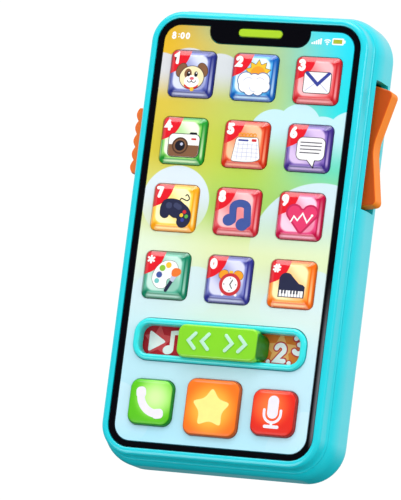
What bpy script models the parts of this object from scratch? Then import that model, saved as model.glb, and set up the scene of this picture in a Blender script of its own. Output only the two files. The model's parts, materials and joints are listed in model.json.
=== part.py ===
"""Toy cell phone, modelled piece by piece the way it comes apart on a bench.

The phone stands on its bottom end: X is its width, Z its length, and the screen
faces -Y.  The helpers take millimetres, and `place` turns each finished mesh
into metres.  A depth is measured from the screen's surface towards the back, and
a height from a line just below the bezel; `at` turns the two into Y and Z.
"""
import math

import bmesh
import bpy
from mathutils import Matrix, Vector

MM = 0.001
GAP = 0.3                       # clearance between neighbouring pieces

# Outside of the body
BEZEL_WIDTH = 72.1
BEZEL_HEIGHT = 145.6
BEZEL_RADIUS = 8.0
BEZEL_BAND = 2.0
BODY_OUTSET = 2.75              # front shell's side beyond the bezel edge
BODY_DEPTH = 26.0               # screen surface to back face
BEAD_RADIUS = 1.6               # round rim bead in front of the screen
BEAD_OUT = 0.9
BEAD_DEPTH = 1.1
BEAD_PROUD = BEAD_RADIUS - BEAD_DEPTH
REAR_OUTSET = 4.9               # rear shell's side, once it has flared
REAR_DROP = 0.2                 # its outline stands this much lower than the front's
REAR_FLARE = 6.8                # depth that the flare takes
BACK_ROUND = 7.0
SCREEN_Y = -(BODY_DEPTH - BEAD_PROUD) / 2
BASE_OUTSET = 2.35              # heights are measured from this far below the bezel
FLAT_OUTSET = 4.95              # the rear shell's bottom end is cut flat here, at Z = 0
LIFT = FLAT_OUTSET - BASE_OUTSET
BODY_MIDDLE = BEZEL_HEIGHT / 2 + BASE_OUTSET

# Layers, as depths behind the screen surface
PANEL_FRONT = 0.15
PANEL_BACK = 1.5
DECK_FRONT = PANEL_BACK + GAP
DECK_BACK = 3.3
PARTING = 5.4                   # middle of the seam between the two shells
SEAM = 0.2
TONGUE_BACK = 7.3
FLANGE_FRONT = DECK_BACK + GAP
FLANGE_BACK = 4.6
DECK_EDGE = 0.15                # the bezel's clearance in its recess
TONGUE_OUTSET = 0.3
TONGUE_WALL = 1.2
MAT_FRONT = 6.9
MAT_BACK = 7.6
BOARD_FRONT = MAT_BACK + GAP
BOARD_BACK = 9.3
FRONT_BOSS_BACK = 9.6
REAR_BOSS_FRONT = FRONT_BOSS_BACK + GAP
BACK_INSIDE = 23.6
REAR_CAVITY = ((PARTING - 1, 0.6), (8.5, 0.6), (10.2, 2.4), (20.5, 2.4), (BACK_INSIDE, 0.4))

# Picture keys
KEY_COLUMNS = (-22.28, 0.0, 22.28)
KEY_ROWS = (129.02, 106.18, 83.34, 60.50)
KEY_NAMES = ("1", "2", "3", "4", "5", "6", "7", "8", "9", "star", "0", "hash")
KEY_SIZE = 15.7
KEY_TOP = 12.4
KEY_RADIUS = 2.2
KEY_PROUD = 1.3
FLANGE_OUT = 0.8                # how far a key's flange reaches behind the deck

# Lower buttons: name, centre X, centre Z, size, finish
BUTTONS = (
    ("call_button", -21.7, 17.75, 15.0, "green"),
    ("star_button", 0.0, 17.55, 18.6, "orange"),
    ("mic_button", 21.7, 17.55, 15.0, "red"),
)
BUTTON_RADIUS = 3.0
BUTTON_PROUD = 1.8

# Sliding switch
SLOT_CENTRE = (-0.4, 38.85)
KNOB_CENTRE = (0.2, 38.85)
SURROUND_WIDTH = 60.8
SURROUND_HEIGHT = 14.0
SURROUND_RADIUS = 5.4
SURROUND_BAND = 2.0
SURROUND_PROUD = 1.2
SKIRT_WALL = 0.9
SLIDER_FRONT = 4.0
SLIDER_CAP = (28.2, 10.9)
SLIDER_FOOT = 31.2
SLIDER_STEM = SURROUND_HEIGHT - 2 * SURROUND_BAND - 2 * GAP
SLIDER_TRAVEL = 11.5            # each way from the middle
SHANK = (4.0, 1.8)
SHANK_BACK = 6.8
LABEL_FRONT = FLANGE_FRONT
LABEL_BACK = 4.4
LABEL_MARGIN = 0.4              # how far the label reaches past the surround at its ends
LABEL_HEIGHT = 13.2

# Notch and its light
NOTCH_WIDTH = 35.4
NOTCH_BOTTOM = 140.05
NOTCH_RADIUS = 4.2
LIGHT_SIZE = (15.5, 2.6)
LIGHT_CENTRE = (0.2, 144.05)

# Side rocker, a shallow V that swings on a pin along Y
ROCKER_PIVOT = (36.0, 110.15)
ROCKER_FRONT = 10.7
ROCKER_BACK = 17.5
ROCKER_VALLEY = 4.7
ROCKER_SLOPE = math.radians(12.1)
ROCKER_TILT = math.radians(2.2)
ROCKER_TIP = 19.5
ROCKER_TIP_ROUND = 1.7
ROCKER_OPENING = 21.8
OPENING_REACH = 9.0             # how far the opening's cutter reaches outwards from the pivot
ROCKER_BRACKET_X = 39.2         # the pin's brackets run into the wall here
ROCKER_RELIEF = ((6.0, 40.87), (10.6, 38.91))   # depth and X of the slope ahead of the rocker
PIN_RADIUS = 1.0

# Ribbed slide on the other side
RIBBED_CENTRE_Z = 106.5
RIBBED_LENGTH = 22.4
RIBBED_RIBS = 5
RIBBED_TRAVEL = 2.5
RIBBED_FRONT = 6.0
RIBBED_BACK = 10.6
RIBBED_CREST = 42.9
RIBBED_DIP = 0.9
RIBBED_STEPS = 6                # points along each rib
RIBBED_FOOT = (-36.3, -35.2)

# Back face
SCREW_PLACES = ((-28.5, 141.8), (28.5, 141.8), (-30.0, 48.7), (30.0, 48.7), (-20.0, 6.7), (20.0, 6.7))
SCREW_HEAD = 2.3
SCREW_SHANK = 1.2
BOSS_RADIUS = 2.4
HEAD_SEAT = 20.0
BAY_WIDTH = 24.4
BAY_BOTTOM = 33.2
BAY_TOP = 85.0
BAY_FRONT = 12.1
BAY_WALL = 1.4
DOOR_WIDTH = 29.2
DOOR_BOTTOM = 30.0
DOOR_TOP = 92.0
DOOR_FRONT = 24.4
DOOR_SCREW_Z = 88.9
CELL_RADIUS = 5.2
CELL_LENGTH = 44.5
CELL_X = 5.9
CELL_DEPTH = 18.0
SPEAKER_Z = 115.0
SPEAKER_RADIUS = 13.0
SWITCH_Z = 138.5
SWITCH_TRAVEL = 2.5

# Linear colour, roughness, metallic
FINISHES = {
    "teal": ((0.05, 0.62, 0.70), 0.28, 0.0),
    "black": ((0.006, 0.006, 0.010), 0.15, 0.0),
    "panel": ((0.55, 0.75, 0.60), 0.25, 0.0),
    "lime": ((0.35, 0.60, 0.03), 0.25, 0.0),
    "green": ((0.16, 0.70, 0.02), 0.22, 0.0),
    "orange": ((0.95, 0.18, 0.01), 0.25, 0.0),
    "red": ((0.80, 0.03, 0.01), 0.22, 0.0),
    "blue": ((0.05, 0.35, 0.80), 0.15, 0.0),
    "indigo": ((0.05, 0.07, 0.40), 0.15, 0.0),
    "purple": ((0.16, 0.04, 0.40), 0.15, 0.0),
    "yellow": ((0.90, 0.55, 0.05), 0.15, 0.0),
    "magenta": ((0.70, 0.03, 0.22), 0.15, 0.0),
    "silicone": ((0.60, 0.60, 0.58), 0.70, 0.0),
    "board": ((0.02, 0.20, 0.06), 0.45, 0.0),
    "steel": ((0.55, 0.55, 0.56), 0.30, 1.0),
    "spring": ((0.62, 0.62, 0.64), 0.25, 1.0),
    "cell": ((0.20, 0.20, 0.22), 0.35, 0.6),
    "lens": ((0.85, 0.85, 0.82), 0.15, 0.0),
    "white": ((0.80, 0.80, 0.78), 0.35, 0.0),
}
KEY_FINISHES = ("indigo", "blue", "red", "green", "red", "purple",
                "yellow", "red", "magenta", "green", "indigo", "orange")


def clear_scene():
    """Remove every object that a new file holds."""
    for item in list(bpy.data.objects):
        bpy.data.objects.remove(item, do_unlink=True)


def new_collection(name):
    """Make a collection under the scene."""
    collection = bpy.data.collections.new(name)
    bpy.context.scene.collection.children.link(collection)
    return collection


def finish(name):
    """Return the Principled material of a named finish, made once."""
    found = bpy.data.materials.get(name)
    if found:
        return found
    colour, roughness, metallic = FINISHES[name]
    material = bpy.data.materials.new(name)
    material.use_nodes = True
    shader = material.node_tree.nodes["Principled BSDF"]
    shader.inputs["Base Color"].default_value = (*colour, 1.0)
    shader.inputs["Roughness"].default_value = roughness
    shader.inputs["Metallic"].default_value = metallic
    return material


def place(name, mesh, origin, collection, material=None):
    """Turn a millimetre bmesh into an object in metres whose origin is `origin`."""
    centre = Vector(origin)
    bmesh.ops.translate(mesh, verts=mesh.verts, vec=-centre)
    bmesh.ops.scale(mesh, verts=mesh.verts, vec=(MM, MM, MM))
    data = bpy.data.meshes.new(name)
    mesh.to_mesh(data)
    mesh.free()
    data.shade_smooth()
    data.set_sharp_from_angle(angle=math.radians(32))
    item = bpy.data.objects.new(name, data)
    item.location = centre * MM
    collection.objects.link(item)
    if material:
        data.materials.append(finish(material))
    return item


def part(name, mesh, origin, material):
    """Place a mesh as one named piece of the phone."""
    return place(name, mesh, origin, PARTS, material)


def tool(name, mesh):
    """Place a mesh as a hidden shape that cuts or joins."""
    item = place(name, mesh, (0, 0, 0), CUTTERS)
    item.hide_render = True
    item.display_type = "WIRE"
    return item


def combine(target, other, operation):
    """Add an exact Boolean of `other` to `target`."""
    modifier = target.modifiers.new(other.name, "BOOLEAN")
    modifier.operation = operation
    modifier.object = other
    modifier.solver = "EXACT"


def cut(target, other):
    """Take `other` away from `target`."""
    combine(target, other, "DIFFERENCE")


def join(target, other):
    """Fuse `other` into `target`."""
    combine(target, other, "UNION")


def at(x, depth, height):
    """Point in the phone's frame from a depth and a height."""
    return Vector((x, SCREEN_Y + depth, LIFT + height))


def rounded(width, height, radius, centre=(0.0, BODY_MIDDLE), steps=4):
    """Rounded rectangle in X-Z, anticlockwise seen from the front."""
    points = []
    for quadrant, (side_x, side_z) in enumerate(((1, 1), (-1, 1), (-1, -1), (1, -1))):
        corner_x = centre[0] + side_x * (width / 2 - radius)
        corner_z = centre[1] + side_z * (height / 2 - radius)
        for step in range(steps + 1):
            angle = math.radians(90 * quadrant + 90 * step / steps)
            points.append((corner_x + radius * math.cos(angle), corner_z + radius * math.sin(angle)))
    return points


def body_outline(outset, steps=8, drop=0.0):
    """Outline of the phone at a distance outside the bezel's edge."""
    return rounded(BEZEL_WIDTH + 2 * outset, BEZEL_HEIGHT + 2 * outset, BEZEL_RADIUS + outset,
                   (0.0, BODY_MIDDLE - drop), steps)


def loft(sections, into=None):
    """Closed mesh through outlines given front to back as (depth, points)."""
    mesh = into or bmesh.new()
    rings = [[mesh.verts.new(at(x, depth, z)) for x, z in points] for depth, points in sections]
    mesh.faces.new(rings[0])
    mesh.faces.new(list(reversed(rings[-1])))
    for near, far in zip(rings, rings[1:]):
        count = len(near)
        for index in range(count):
            following = (index + 1) % count
            mesh.faces.new((near[index], far[index], far[following], near[following]))
    return mesh


def slab(points, front, back, into=None):
    """Flat-sided solid with one outline."""
    return loft(((front, points), (back, points)), into)


def block(low, high, into=None):
    """Plain box between two corners, each (x, depth, z)."""
    mesh = into or bmesh.new()
    low_point = at(*low)
    high_point = at(*high)
    size = high_point - low_point
    matrix = Matrix.Translation((low_point + high_point) / 2) @ Matrix.Diagonal((*size, 1.0))
    bmesh.ops.create_cube(mesh, size=1.0, matrix=matrix)
    return mesh


def rod(centre, radius, front, back, into=None, segments=16, tip=None):
    """Cylinder or cone along Y at (x, z), between two depths."""
    mesh = into or bmesh.new()
    middle = at(centre[0], (front + back) / 2, centre[1])
    turn = Matrix.Rotation(math.radians(90), 4, "X")
    bmesh.ops.create_cone(mesh, cap_ends=True, segments=segments, radius1=radius if tip is None else tip,
                          radius2=radius, depth=back - front, matrix=Matrix.Translation(middle) @ turn)
    bmesh.ops.recalc_face_normals(mesh, faces=mesh.faces)
    return mesh


def turned(name, profile, origin, axis, material, steps=14):
    """Solid of revolution: profile points (radius, height) run from top to bottom."""
    data = bpy.data.meshes.new(name)
    points = [(radius * MM, 0.0, height * MM) for radius, height in profile]
    data.from_pydata(points, [(index, index + 1) for index in range(len(points) - 1)], [])
    data.materials.append(finish(material))
    item = bpy.data.objects.new(name, data)
    item.location = Vector(origin) * MM
    item.rotation_mode = "QUATERNION"
    item.rotation_quaternion = Vector(axis).to_track_quat("Z", "Y")
    PARTS.objects.link(item)
    screw = item.modifiers.new("turn", "SCREW")
    screw.axis = "Z"
    screw.steps = steps
    screw.render_steps = steps
    screw.use_merge_vertices = True
    screw.merge_threshold = 0.00001
    screw.use_smooth_shade = True
    return item


def bead_profile():
    """(depth, outset) stations around the round rim bead."""
    stations = []
    for degrees in (-45, -20, 0, 20, 42, 66, 90):
        angle = math.radians(degrees)
        depth = BEAD_DEPTH - BEAD_RADIUS * math.cos(angle)
        stations.append((depth, BEAD_OUT + BEAD_RADIUS * math.sin(angle)))
    return stations


def rear_sections():
    """Outlines of the rear shell: the flare behind the seam, then the round back edge."""
    sections = []
    for degrees in (0, 15, 30, 45, 60, 75, 90):
        angle = math.radians(degrees)
        share = math.sin(angle)
        depth = PARTING + SEAM / 2 + REAR_FLARE * (1 - math.cos(angle))
        outset = BODY_OUTSET + share * (REAR_OUTSET - BODY_OUTSET)
        sections.append((depth, body_outline(outset, drop=share * REAR_DROP)))
    for degrees in (0, 15, 30, 45, 60, 75, 90):
        angle = math.radians(degrees)
        depth = BODY_DEPTH - BACK_ROUND * (1 - math.sin(angle))
        outset = REAR_OUTSET - BACK_ROUND * (1 - math.cos(angle))
        sections.append((depth, body_outline(outset, drop=REAR_DROP)))
    return sections


def slot_outline(inset=0.0, steps=4):
    """Outline of the slider surround, moved in by `inset`."""
    return rounded(SURROUND_WIDTH - 2 * inset, SURROUND_HEIGHT - 2 * inset, SURROUND_RADIUS - inset,
                   SLOT_CENTRE, steps)


def key_places():
    """Name and centre of each picture key, left to right and top to bottom."""
    centres = [(x, z) for z in KEY_ROWS for x in KEY_COLUMNS]
    return list(zip(KEY_NAMES, centres, KEY_FINISHES))


def window_tools(name, front, back, clearance):
    """Openings for keys, buttons and the light, as one cutter."""
    mesh = bmesh.new()
    for _, centre, _ in key_places():
        size = KEY_SIZE + 2 * clearance
        slab(rounded(size, size, KEY_RADIUS + clearance, centre, 3), front, back, mesh)
    for _, x, z, size, _ in BUTTONS:
        outline = rounded(size + 2 * clearance, size + 2 * clearance, BUTTON_RADIUS + clearance, (x, z))
        slab(outline, front, back, mesh)
    return tool(name, mesh)


def light_outline(clearance, steps=3):
    """Rounded slot of the earpiece light."""
    width = LIGHT_SIZE[0] + 2 * clearance
    height = LIGHT_SIZE[1] + 2 * clearance
    return rounded(width, height, height / 2 - 0.1, LIGHT_CENTRE, steps)


def make_front_housing():
    """Front shell: rim bead, deck behind the screen, tongue and screw posts."""
    sections = [(depth, body_outline(outset)) for depth, outset in bead_profile()]
    edge = PARTING - SEAM / 2
    for depth, outset in ((edge, BODY_OUTSET), (edge, TONGUE_OUTSET), (TONGUE_BACK, TONGUE_OUTSET)):
        sections.append((depth, body_outline(outset)))
    shell = part("front_housing", loft(sections), at(0, 0, BODY_MIDDLE), "teal")
    cut(shell, tool("screen_recess", slab(body_outline(DECK_EDGE), -3.0, DECK_FRONT)))
    inside = body_outline(TONGUE_OUTSET - TONGUE_WALL)
    cut(shell, tool("front_cavity", slab(inside, DECK_BACK, TONGUE_BACK + 1)))
    posts = bmesh.new()
    holes = bmesh.new()
    for centre in SCREW_PLACES:
        rod(centre, BOSS_RADIUS, DECK_BACK - 0.6, FRONT_BOSS_BACK, posts, 12)
        rod(centre, SCREW_SHANK + GAP, DECK_BACK + 1.2, FRONT_BOSS_BACK + 1, holes, 10)
    join(shell, tool("front_posts", posts))
    slab(slot_outline(SURROUND_BAND - SKIRT_WALL - GAP), DECK_FRONT - 1, DECK_BACK + 0.4, holes)
    slab(light_outline(GAP), DECK_FRONT - 1, DECK_BACK + 0.4, holes)
    reach = RIBBED_LENGTH / 2 + 3 * RIBBED_TRAVEL + 1.5
    block((-38.0, PARTING + 0.2, RIBBED_CENTRE_Z - reach), (-33.0, 9.0, RIBBED_CENTRE_Z + reach), holes)
    cut(shell, window_tools("deck_windows", DECK_FRONT - 1, DECK_BACK + 0.4, GAP))
    cut(shell, tool("front_holes", holes))


def rear_inside():
    """Everything that stands up inside the rear shell, as one tool."""
    mesh = bmesh.new()
    for centre in SCREW_PLACES:
        rod(centre, 3.7, REAR_BOSS_FRONT, BACK_INSIDE + 0.6, mesh, 14)
    rod((0, DOOR_SCREW_Z), 3.2, 14.0, BACK_INSIDE + 0.6, mesh, 12)
    rod((0, SPEAKER_Z), SPEAKER_RADIUS + 1.6, 20.0, BACK_INSIDE + 0.6, mesh, 24)
    pivot_x, pivot_z = ROCKER_PIVOT
    for front, back in ((9.6, 10.4), (17.8, 19.0)):
        block((pivot_x - 2.2, front, pivot_z - 2.6), (ROCKER_BRACKET_X, back, pivot_z + 2.6), mesh)
    return tool("rear_posts", mesh)


def rear_bay():
    """Battery box that hangs from the back plate."""
    half = BAY_WIDTH / 2 + BAY_WALL
    return tool("bay_walls", block((-half, BAY_FRONT - BAY_WALL, BAY_BOTTOM - BAY_WALL),
                                   (half, BACK_INSIDE + 0.5, BAY_TOP + BAY_WALL)))


def rear_openings():
    """Cuts from the outside of the rear shell, as one tool of separate shapes."""
    mesh = bmesh.new()
    for centre in SCREW_PLACES:
        sections = ((HEAD_SEAT - 11, SCREW_SHANK + GAP), (HEAD_SEAT, SCREW_SHANK + GAP),
                    (HEAD_SEAT, SCREW_HEAD + GAP), (BODY_DEPTH + 1, SCREW_HEAD + GAP))
        loft([(depth, circle(centre, radius, 12)) for depth, radius in sections], mesh)
    rod((0, SPEAKER_Z), SPEAKER_RADIUS + GAP, 19.0, BACK_INSIDE, mesh, 24)
    for row in range(-2, 3):
        length = 2 * math.sqrt(10.0 ** 2 - (3.6 * row) ** 2)
        outline = rounded(length, 1.6, 0.75, (0, SPEAKER_Z + 3.6 * row), 2)
        slab(outline, BACK_INSIDE - 0.5, BODY_DEPTH + 1, mesh)
    slab(rounded(19.0, 8.0, 2.5, (0, SWITCH_Z), 3), BODY_DEPTH - 1.0, BODY_DEPTH + 1, mesh)
    pivot_x, pivot_z = ROCKER_PIVOT
    block((pivot_x + 1.6, ROCKER_FRONT - GAP, pivot_z - ROCKER_OPENING),
          (pivot_x + OPENING_REACH, ROCKER_BACK + GAP, pivot_z + ROCKER_OPENING), mesh)
    return tool("rear_openings", mesh)


def rear_second_openings():
    """Cuts that lie inside the first ones, and so need a tool of their own."""
    mesh = bmesh.new()
    half = BAY_WIDTH / 2
    block((-half, BAY_FRONT, BAY_BOTTOM), (half, BODY_DEPTH + 2, BAY_TOP), mesh)
    rod((0, DOOR_SCREW_Z), SCREW_SHANK + GAP, 16.0, BODY_DEPTH + 1, mesh, 10)
    slot = rounded(5.4 + 2 * SWITCH_TRAVEL + 2 * GAP, 3.4, 0.8, (0, SWITCH_Z), 2)
    slab(slot, BACK_INSIDE - 0.5, BODY_DEPTH + 2, mesh)
    rod(ROCKER_PIVOT, PIN_RADIUS + GAP, 8.0, 18.7, mesh, 10)
    low = ROCKER_PIVOT[1] - ROCKER_OPENING
    high = ROCKER_PIVOT[1] + ROCKER_OPENING
    outside = ROCKER_PIVOT[0] + OPENING_REACH
    loft([(depth, [(x, low), (outside, low), (outside, high), (x, high)]) for depth, x in ROCKER_RELIEF], mesh)
    reach = RIBBED_LENGTH / 2 + RIBBED_TRAVEL + GAP
    block((-44.0, PARTING - 1, RIBBED_CENTRE_Z - reach),
          (-35.5, RIBBED_BACK + GAP, RIBBED_CENTRE_Z + reach), mesh)
    return tool("rear_second_openings", mesh)


def circle(centre, radius, steps):
    """Round outline in X-Z, anticlockwise seen from the front."""
    angles = [2 * math.pi * step / steps for step in range(steps)]
    return [(centre[0] + radius * math.cos(angle), centre[1] + radius * math.sin(angle)) for angle in angles]


def make_rear_housing():
    """Rear shell: flat end to stand on, battery box, screw posts and the side openings."""
    shell = part("rear_housing", loft(rear_sections()), at(0, BODY_DEPTH, BODY_MIDDLE), "teal")
    ground = block((-BEZEL_WIDTH, 0.0, -LIFT - 3.0), (BEZEL_WIDTH, BODY_DEPTH + 1, -LIFT))
    cut(shell, tool("ground", ground))
    cavity = [(depth, body_outline(outset, 6)) for depth, outset in REAR_CAVITY]
    cut(shell, tool("rear_cavity", loft(cavity)))
    join(shell, rear_inside())
    join(shell, rear_bay())
    door = rounded(DOOR_WIDTH + 2 * GAP, DOOR_TOP - DOOR_BOTTOM + 2 * GAP, 3.0 + GAP,
                   (0, (DOOR_TOP + DOOR_BOTTOM) / 2))
    cut(shell, tool("door_recess", slab(door, DOOR_FRONT - GAP, BODY_DEPTH + 1)))
    cut(shell, rear_openings())
    cut(shell, rear_second_openings())


def notch_tool(name, clearance):
    """Solid over the notch, open towards the top of the phone."""
    outline = rounded(NOTCH_WIDTH + 2 * clearance, 20.0, NOTCH_RADIUS + clearance,
                      (0.0, NOTCH_BOTTOM - clearance + 10.0))
    return tool(name, slab(outline, -4.0, DECK_BACK + 3))


def make_screen_bezel():
    """Glossy black frame with the notch at its top."""
    outline = body_outline(-DECK_EDGE)
    frame = part("screen_bezel", slab(outline, 0.0, PANEL_BACK), at(0, 0, BODY_MIDDLE), "black")
    opening = tool("bezel_opening", slab(body_outline(-BEZEL_BAND, 6), -1.0, PANEL_BACK + 1))
    cut(opening, notch_tool("bezel_notch", 0.0))
    cut(frame, opening)
    cut(frame, tool("bezel_light_slot", slab(light_outline(GAP), -1.0, PANEL_BACK + 1)))


def make_screen_panel():
    """Printed panel behind which the keys stand."""
    inset = -BEZEL_BAND - GAP
    panel = part("screen_panel", slab(body_outline(inset, 6), PANEL_FRONT, PANEL_BACK),
                 at(0, 0, BODY_MIDDLE), "panel")
    cut(panel, notch_tool("panel_notch", GAP))
    cut(panel, window_tools("panel_windows", PANEL_FRONT - 1, PANEL_BACK + 1, GAP))
    cut(panel, tool("panel_slot", slab(slot_outline(-GAP), PANEL_FRONT - 1, PANEL_BACK + 1)))


def make_earpiece_light():
    """Lime light guide that fills the slot in the notch."""
    x, z = LIGHT_CENTRE
    flange = rounded(LIGHT_SIZE[0] + 3, LIGHT_SIZE[1] + 2, 1.5, LIGHT_CENTRE, 3)
    sections = ((-0.1, light_outline(-0.2)), (0.1, light_outline(0)), (FLANGE_FRONT, light_outline(0)),
                (FLANGE_FRONT, flange), (LABEL_BACK, flange))
    part("earpiece_light", loft(sections), at(x, 0, z), "lime")


def make_key(name, centre, material):
    """Picture key: flat top, wide sloping edges, skirt and retaining flange."""
    def square(size, radius):
        return rounded(size, size, radius, centre, 3)
    flange = square(KEY_SIZE + 2 * FLANGE_OUT, KEY_RADIUS)
    sections = ((-KEY_PROUD, square(KEY_TOP, 1.3)), (-0.25, square(KEY_SIZE, KEY_RADIUS)),
                (FLANGE_FRONT, square(KEY_SIZE, KEY_RADIUS)), (FLANGE_FRONT, flange), (FLANGE_BACK, flange))
    part("app_key_" + name, loft(sections), at(centre[0], 0, centre[1]), material)


def make_button(name, x, z, size, material):
    """Round-edged push button with a retaining flange."""
    def square(growth):
        return rounded(size + 2 * growth, size + 2 * growth, BUTTON_RADIUS + min(growth, 0), (x, z))
    edge = ((-BUTTON_PROUD, -1.5), (-BUTTON_PROUD + 0.16, -0.8), (-BUTTON_PROUD + 0.55, -0.25),
            (-BUTTON_PROUD + 1.2, 0.0), (FLANGE_FRONT, 0.0), (FLANGE_FRONT, FLANGE_OUT),
            (FLANGE_BACK, FLANGE_OUT))
    part(name, loft([(depth, square(growth)) for depth, growth in edge]), at(x, 0, z), material)


def make_slider_surround():
    """Raised round-edged ring whose skirt lines the slot."""
    crest = SURROUND_BAND / 2 - 0.1
    skirt = SURROUND_BAND - SKIRT_WALL
    sections = []
    for degrees in (0, 35, 65, 90):
        angle = math.radians(degrees)
        depth = -SURROUND_PROUD + crest * (1 - math.cos(angle))
        sections.append((depth, slot_outline(crest * (1 - math.sin(angle)), 5)))
    sections += [(PANEL_BACK, slot_outline(0, 5)), (PANEL_BACK, slot_outline(skirt, 5)),
                 (DECK_BACK, slot_outline(skirt, 5))]
    ring = part("slider_surround", loft(sections), at(SLOT_CENTRE[0], 0, SLOT_CENTRE[1]), "teal")
    mouth = slot_outline(SURROUND_BAND - crest, 5)
    inner = [(-SURROUND_PROUD - 1, mouth), (-SURROUND_PROUD - 0.02, mouth)]
    for degrees in (60, 30, 0):
        angle = math.radians(degrees)
        depth = -SURROUND_PROUD + crest * (1 - math.sin(angle))
        inner.append((depth, slot_outline(SURROUND_BAND - crest * (1 - math.cos(angle)), 5)))
    inner.append((DECK_BACK + 1, slot_outline(SURROUND_BAND, 5)))
    cut(ring, tool("slider_opening", loft(inner)))


def make_slider_label():
    """Printed plate at the bottom of the slot, with a slit for the shank."""
    outline = rounded(SURROUND_WIDTH + 2 * LABEL_MARGIN, LABEL_HEIGHT, 2.0, SLOT_CENTRE, 3)
    x, z = SLOT_CENTRE
    plate = part("slider_label", slab(outline, LABEL_FRONT, LABEL_BACK), at(x, 0, z), "red")
    slit = rounded(SHANK[0] + 2 * SLIDER_TRAVEL + 2 * GAP, SHANK[1] + 2 * GAP, 1.0, KNOB_CENTRE, 2)
    cut(plate, tool("label_slit", slab(slit, LABEL_FRONT - 1, LABEL_BACK + 1)))


def make_slider_knob():
    """Green knob: a cap over the surround, a stem in the slot and a shank behind."""
    width, height = SLIDER_CAP

    def outline(outline_width, outline_height, radius):
        return rounded(outline_width, outline_height, radius, KNOB_CENTRE)
    under_cap = -SURROUND_PROUD - GAP
    sections = ((-SLIDER_FRONT, outline(width - 1.6, height - 1.6, 1.9)),
                (-SLIDER_FRONT + 0.15, outline(width - 0.8, height - 0.8, 2.2)),
                (-SLIDER_FRONT + 0.6, outline(width, height, 2.6)),
                (under_cap, outline(width + 0.8, height, 2.4)),
                (under_cap, outline(width + 0.2, SLIDER_STEM, 3.0)),
                (DECK_BACK, outline(SLIDER_FOOT, SLIDER_STEM, 3.4)))
    x, z = KNOB_CENTRE
    knob = part("slider_knob", loft(sections), at(x, 0, z), "green")
    shank = block((x - SHANK[0] / 2, DECK_BACK - 1, z - SHANK[1] / 2),
                  (x + SHANK[0] / 2, SHANK_BACK, z + SHANK[1] / 2))
    join(knob, tool("slider_shank", shank))


def make_slider_carriage():
    """Carriage behind the label that takes the knob's shank and carries the wiper."""
    x, z = KNOB_CENTRE
    carriage = part("slider_carriage", block((x - 6, LABEL_BACK + GAP, z - 3.6), (x + 6, MAT_BACK, z + 3.6)),
                    at(x, LABEL_BACK, z), "white")
    half_x = SHANK[0] / 2 + GAP
    half_z = SHANK[1] / 2 + GAP
    socket = block((x - half_x, LABEL_BACK - 1, z - half_z), (x + half_x, MAT_BACK + 1, z + half_z))
    cut(carriage, tool("carriage_socket", socket))


def wing_points(side):
    """Outer edge of one rocker wing from valley to inner end, as (out, along)."""
    slope = math.tan(ROCKER_SLOPE)
    centre_along = ROCKER_TIP - ROCKER_TIP_ROUND
    centre_out = ROCKER_VALLEY + slope * centre_along - ROCKER_TIP_ROUND / math.cos(ROCKER_SLOPE)
    points = [(ROCKER_VALLEY + 0.25, 1.2)]
    for degrees in (0, 22.5, 45, 67.5, 90):
        angle = math.radians(degrees) - ROCKER_SLOPE
        points.append((centre_out + ROCKER_TIP_ROUND * math.cos(angle),
                       centre_along + ROCKER_TIP_ROUND * math.sin(angle)))
    tip_out, tip_along = points[-1]
    points.append((0.6, tip_along + (tip_out - 0.6) * slope))
    points += [(0.6, 4.4), (-2.0, 2.2)]
    return [(out, side * along) for out, along in points]


def make_side_rocker():
    """V-shaped rocker that swings on its pin."""
    outline = list(reversed(wing_points(-1))) + wing_points(1)
    pivot_x, pivot_z = ROCKER_PIVOT
    sine = math.sin(ROCKER_TILT)
    cosine = math.cos(ROCKER_TILT)
    points = [(pivot_x + out * cosine + along * sine, pivot_z + along * cosine - out * sine)
              for out, along in outline]
    rocker = part("side_rocker", slab(points, ROCKER_FRONT, ROCKER_BACK), at(pivot_x, 0, pivot_z), "orange")
    edge = rocker.modifiers.new("edges", "BEVEL")
    edge.width = 0.45 * MM
    edge.segments = 2
    edge.limit_method = "ANGLE"
    edge.angle_limit = math.radians(60)
    hole = rod(ROCKER_PIVOT, PIN_RADIUS + GAP, ROCKER_FRONT - 1, ROCKER_BACK + 1, None, 12)
    cut(rocker, tool("rocker_bore", hole))
    part("rocker_pin", rod(ROCKER_PIVOT, PIN_RADIUS, 9.7, 18.4, None, 12), at(pivot_x, 0, pivot_z), "steel")


def make_side_slide():
    """Ribbed finger piece that slides along the left side."""
    low = RIBBED_CENTRE_Z - RIBBED_LENGTH / 2
    high = low + RIBBED_LENGTH
    pitch = RIBBED_LENGTH / RIBBED_RIBS
    edge = []
    for step in range(RIBBED_RIBS * RIBBED_STEPS + 1):
        along = step * pitch / RIBBED_STEPS
        wave = abs(math.sin(math.pi * along / pitch))
        edge.append((-RIBBED_CREST + RIBBED_DIP * (1 - wave), low + along))
    foot_out, foot_in = RIBBED_FOOT
    inner_edge = (foot_out + foot_in) / 2
    points = list(reversed(edge)) + [(inner_edge, low), (inner_edge, high)]
    slide = part("side_ribbed_slide", slab(points, RIBBED_FRONT, RIBBED_BACK),
                 at(-RIBBED_CREST, RIBBED_FRONT, RIBBED_CENTRE_Z), "orange")
    reach = RIBBED_LENGTH / 2 + 2 * RIBBED_TRAVEL + 1
    foot = block((foot_out, RIBBED_FRONT - 0.2, RIBBED_CENTRE_Z - reach),
                 (foot_in, RIBBED_BACK + 0.8, RIBBED_CENTRE_Z + reach))
    join(slide, tool("ribbed_foot", foot))


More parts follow.
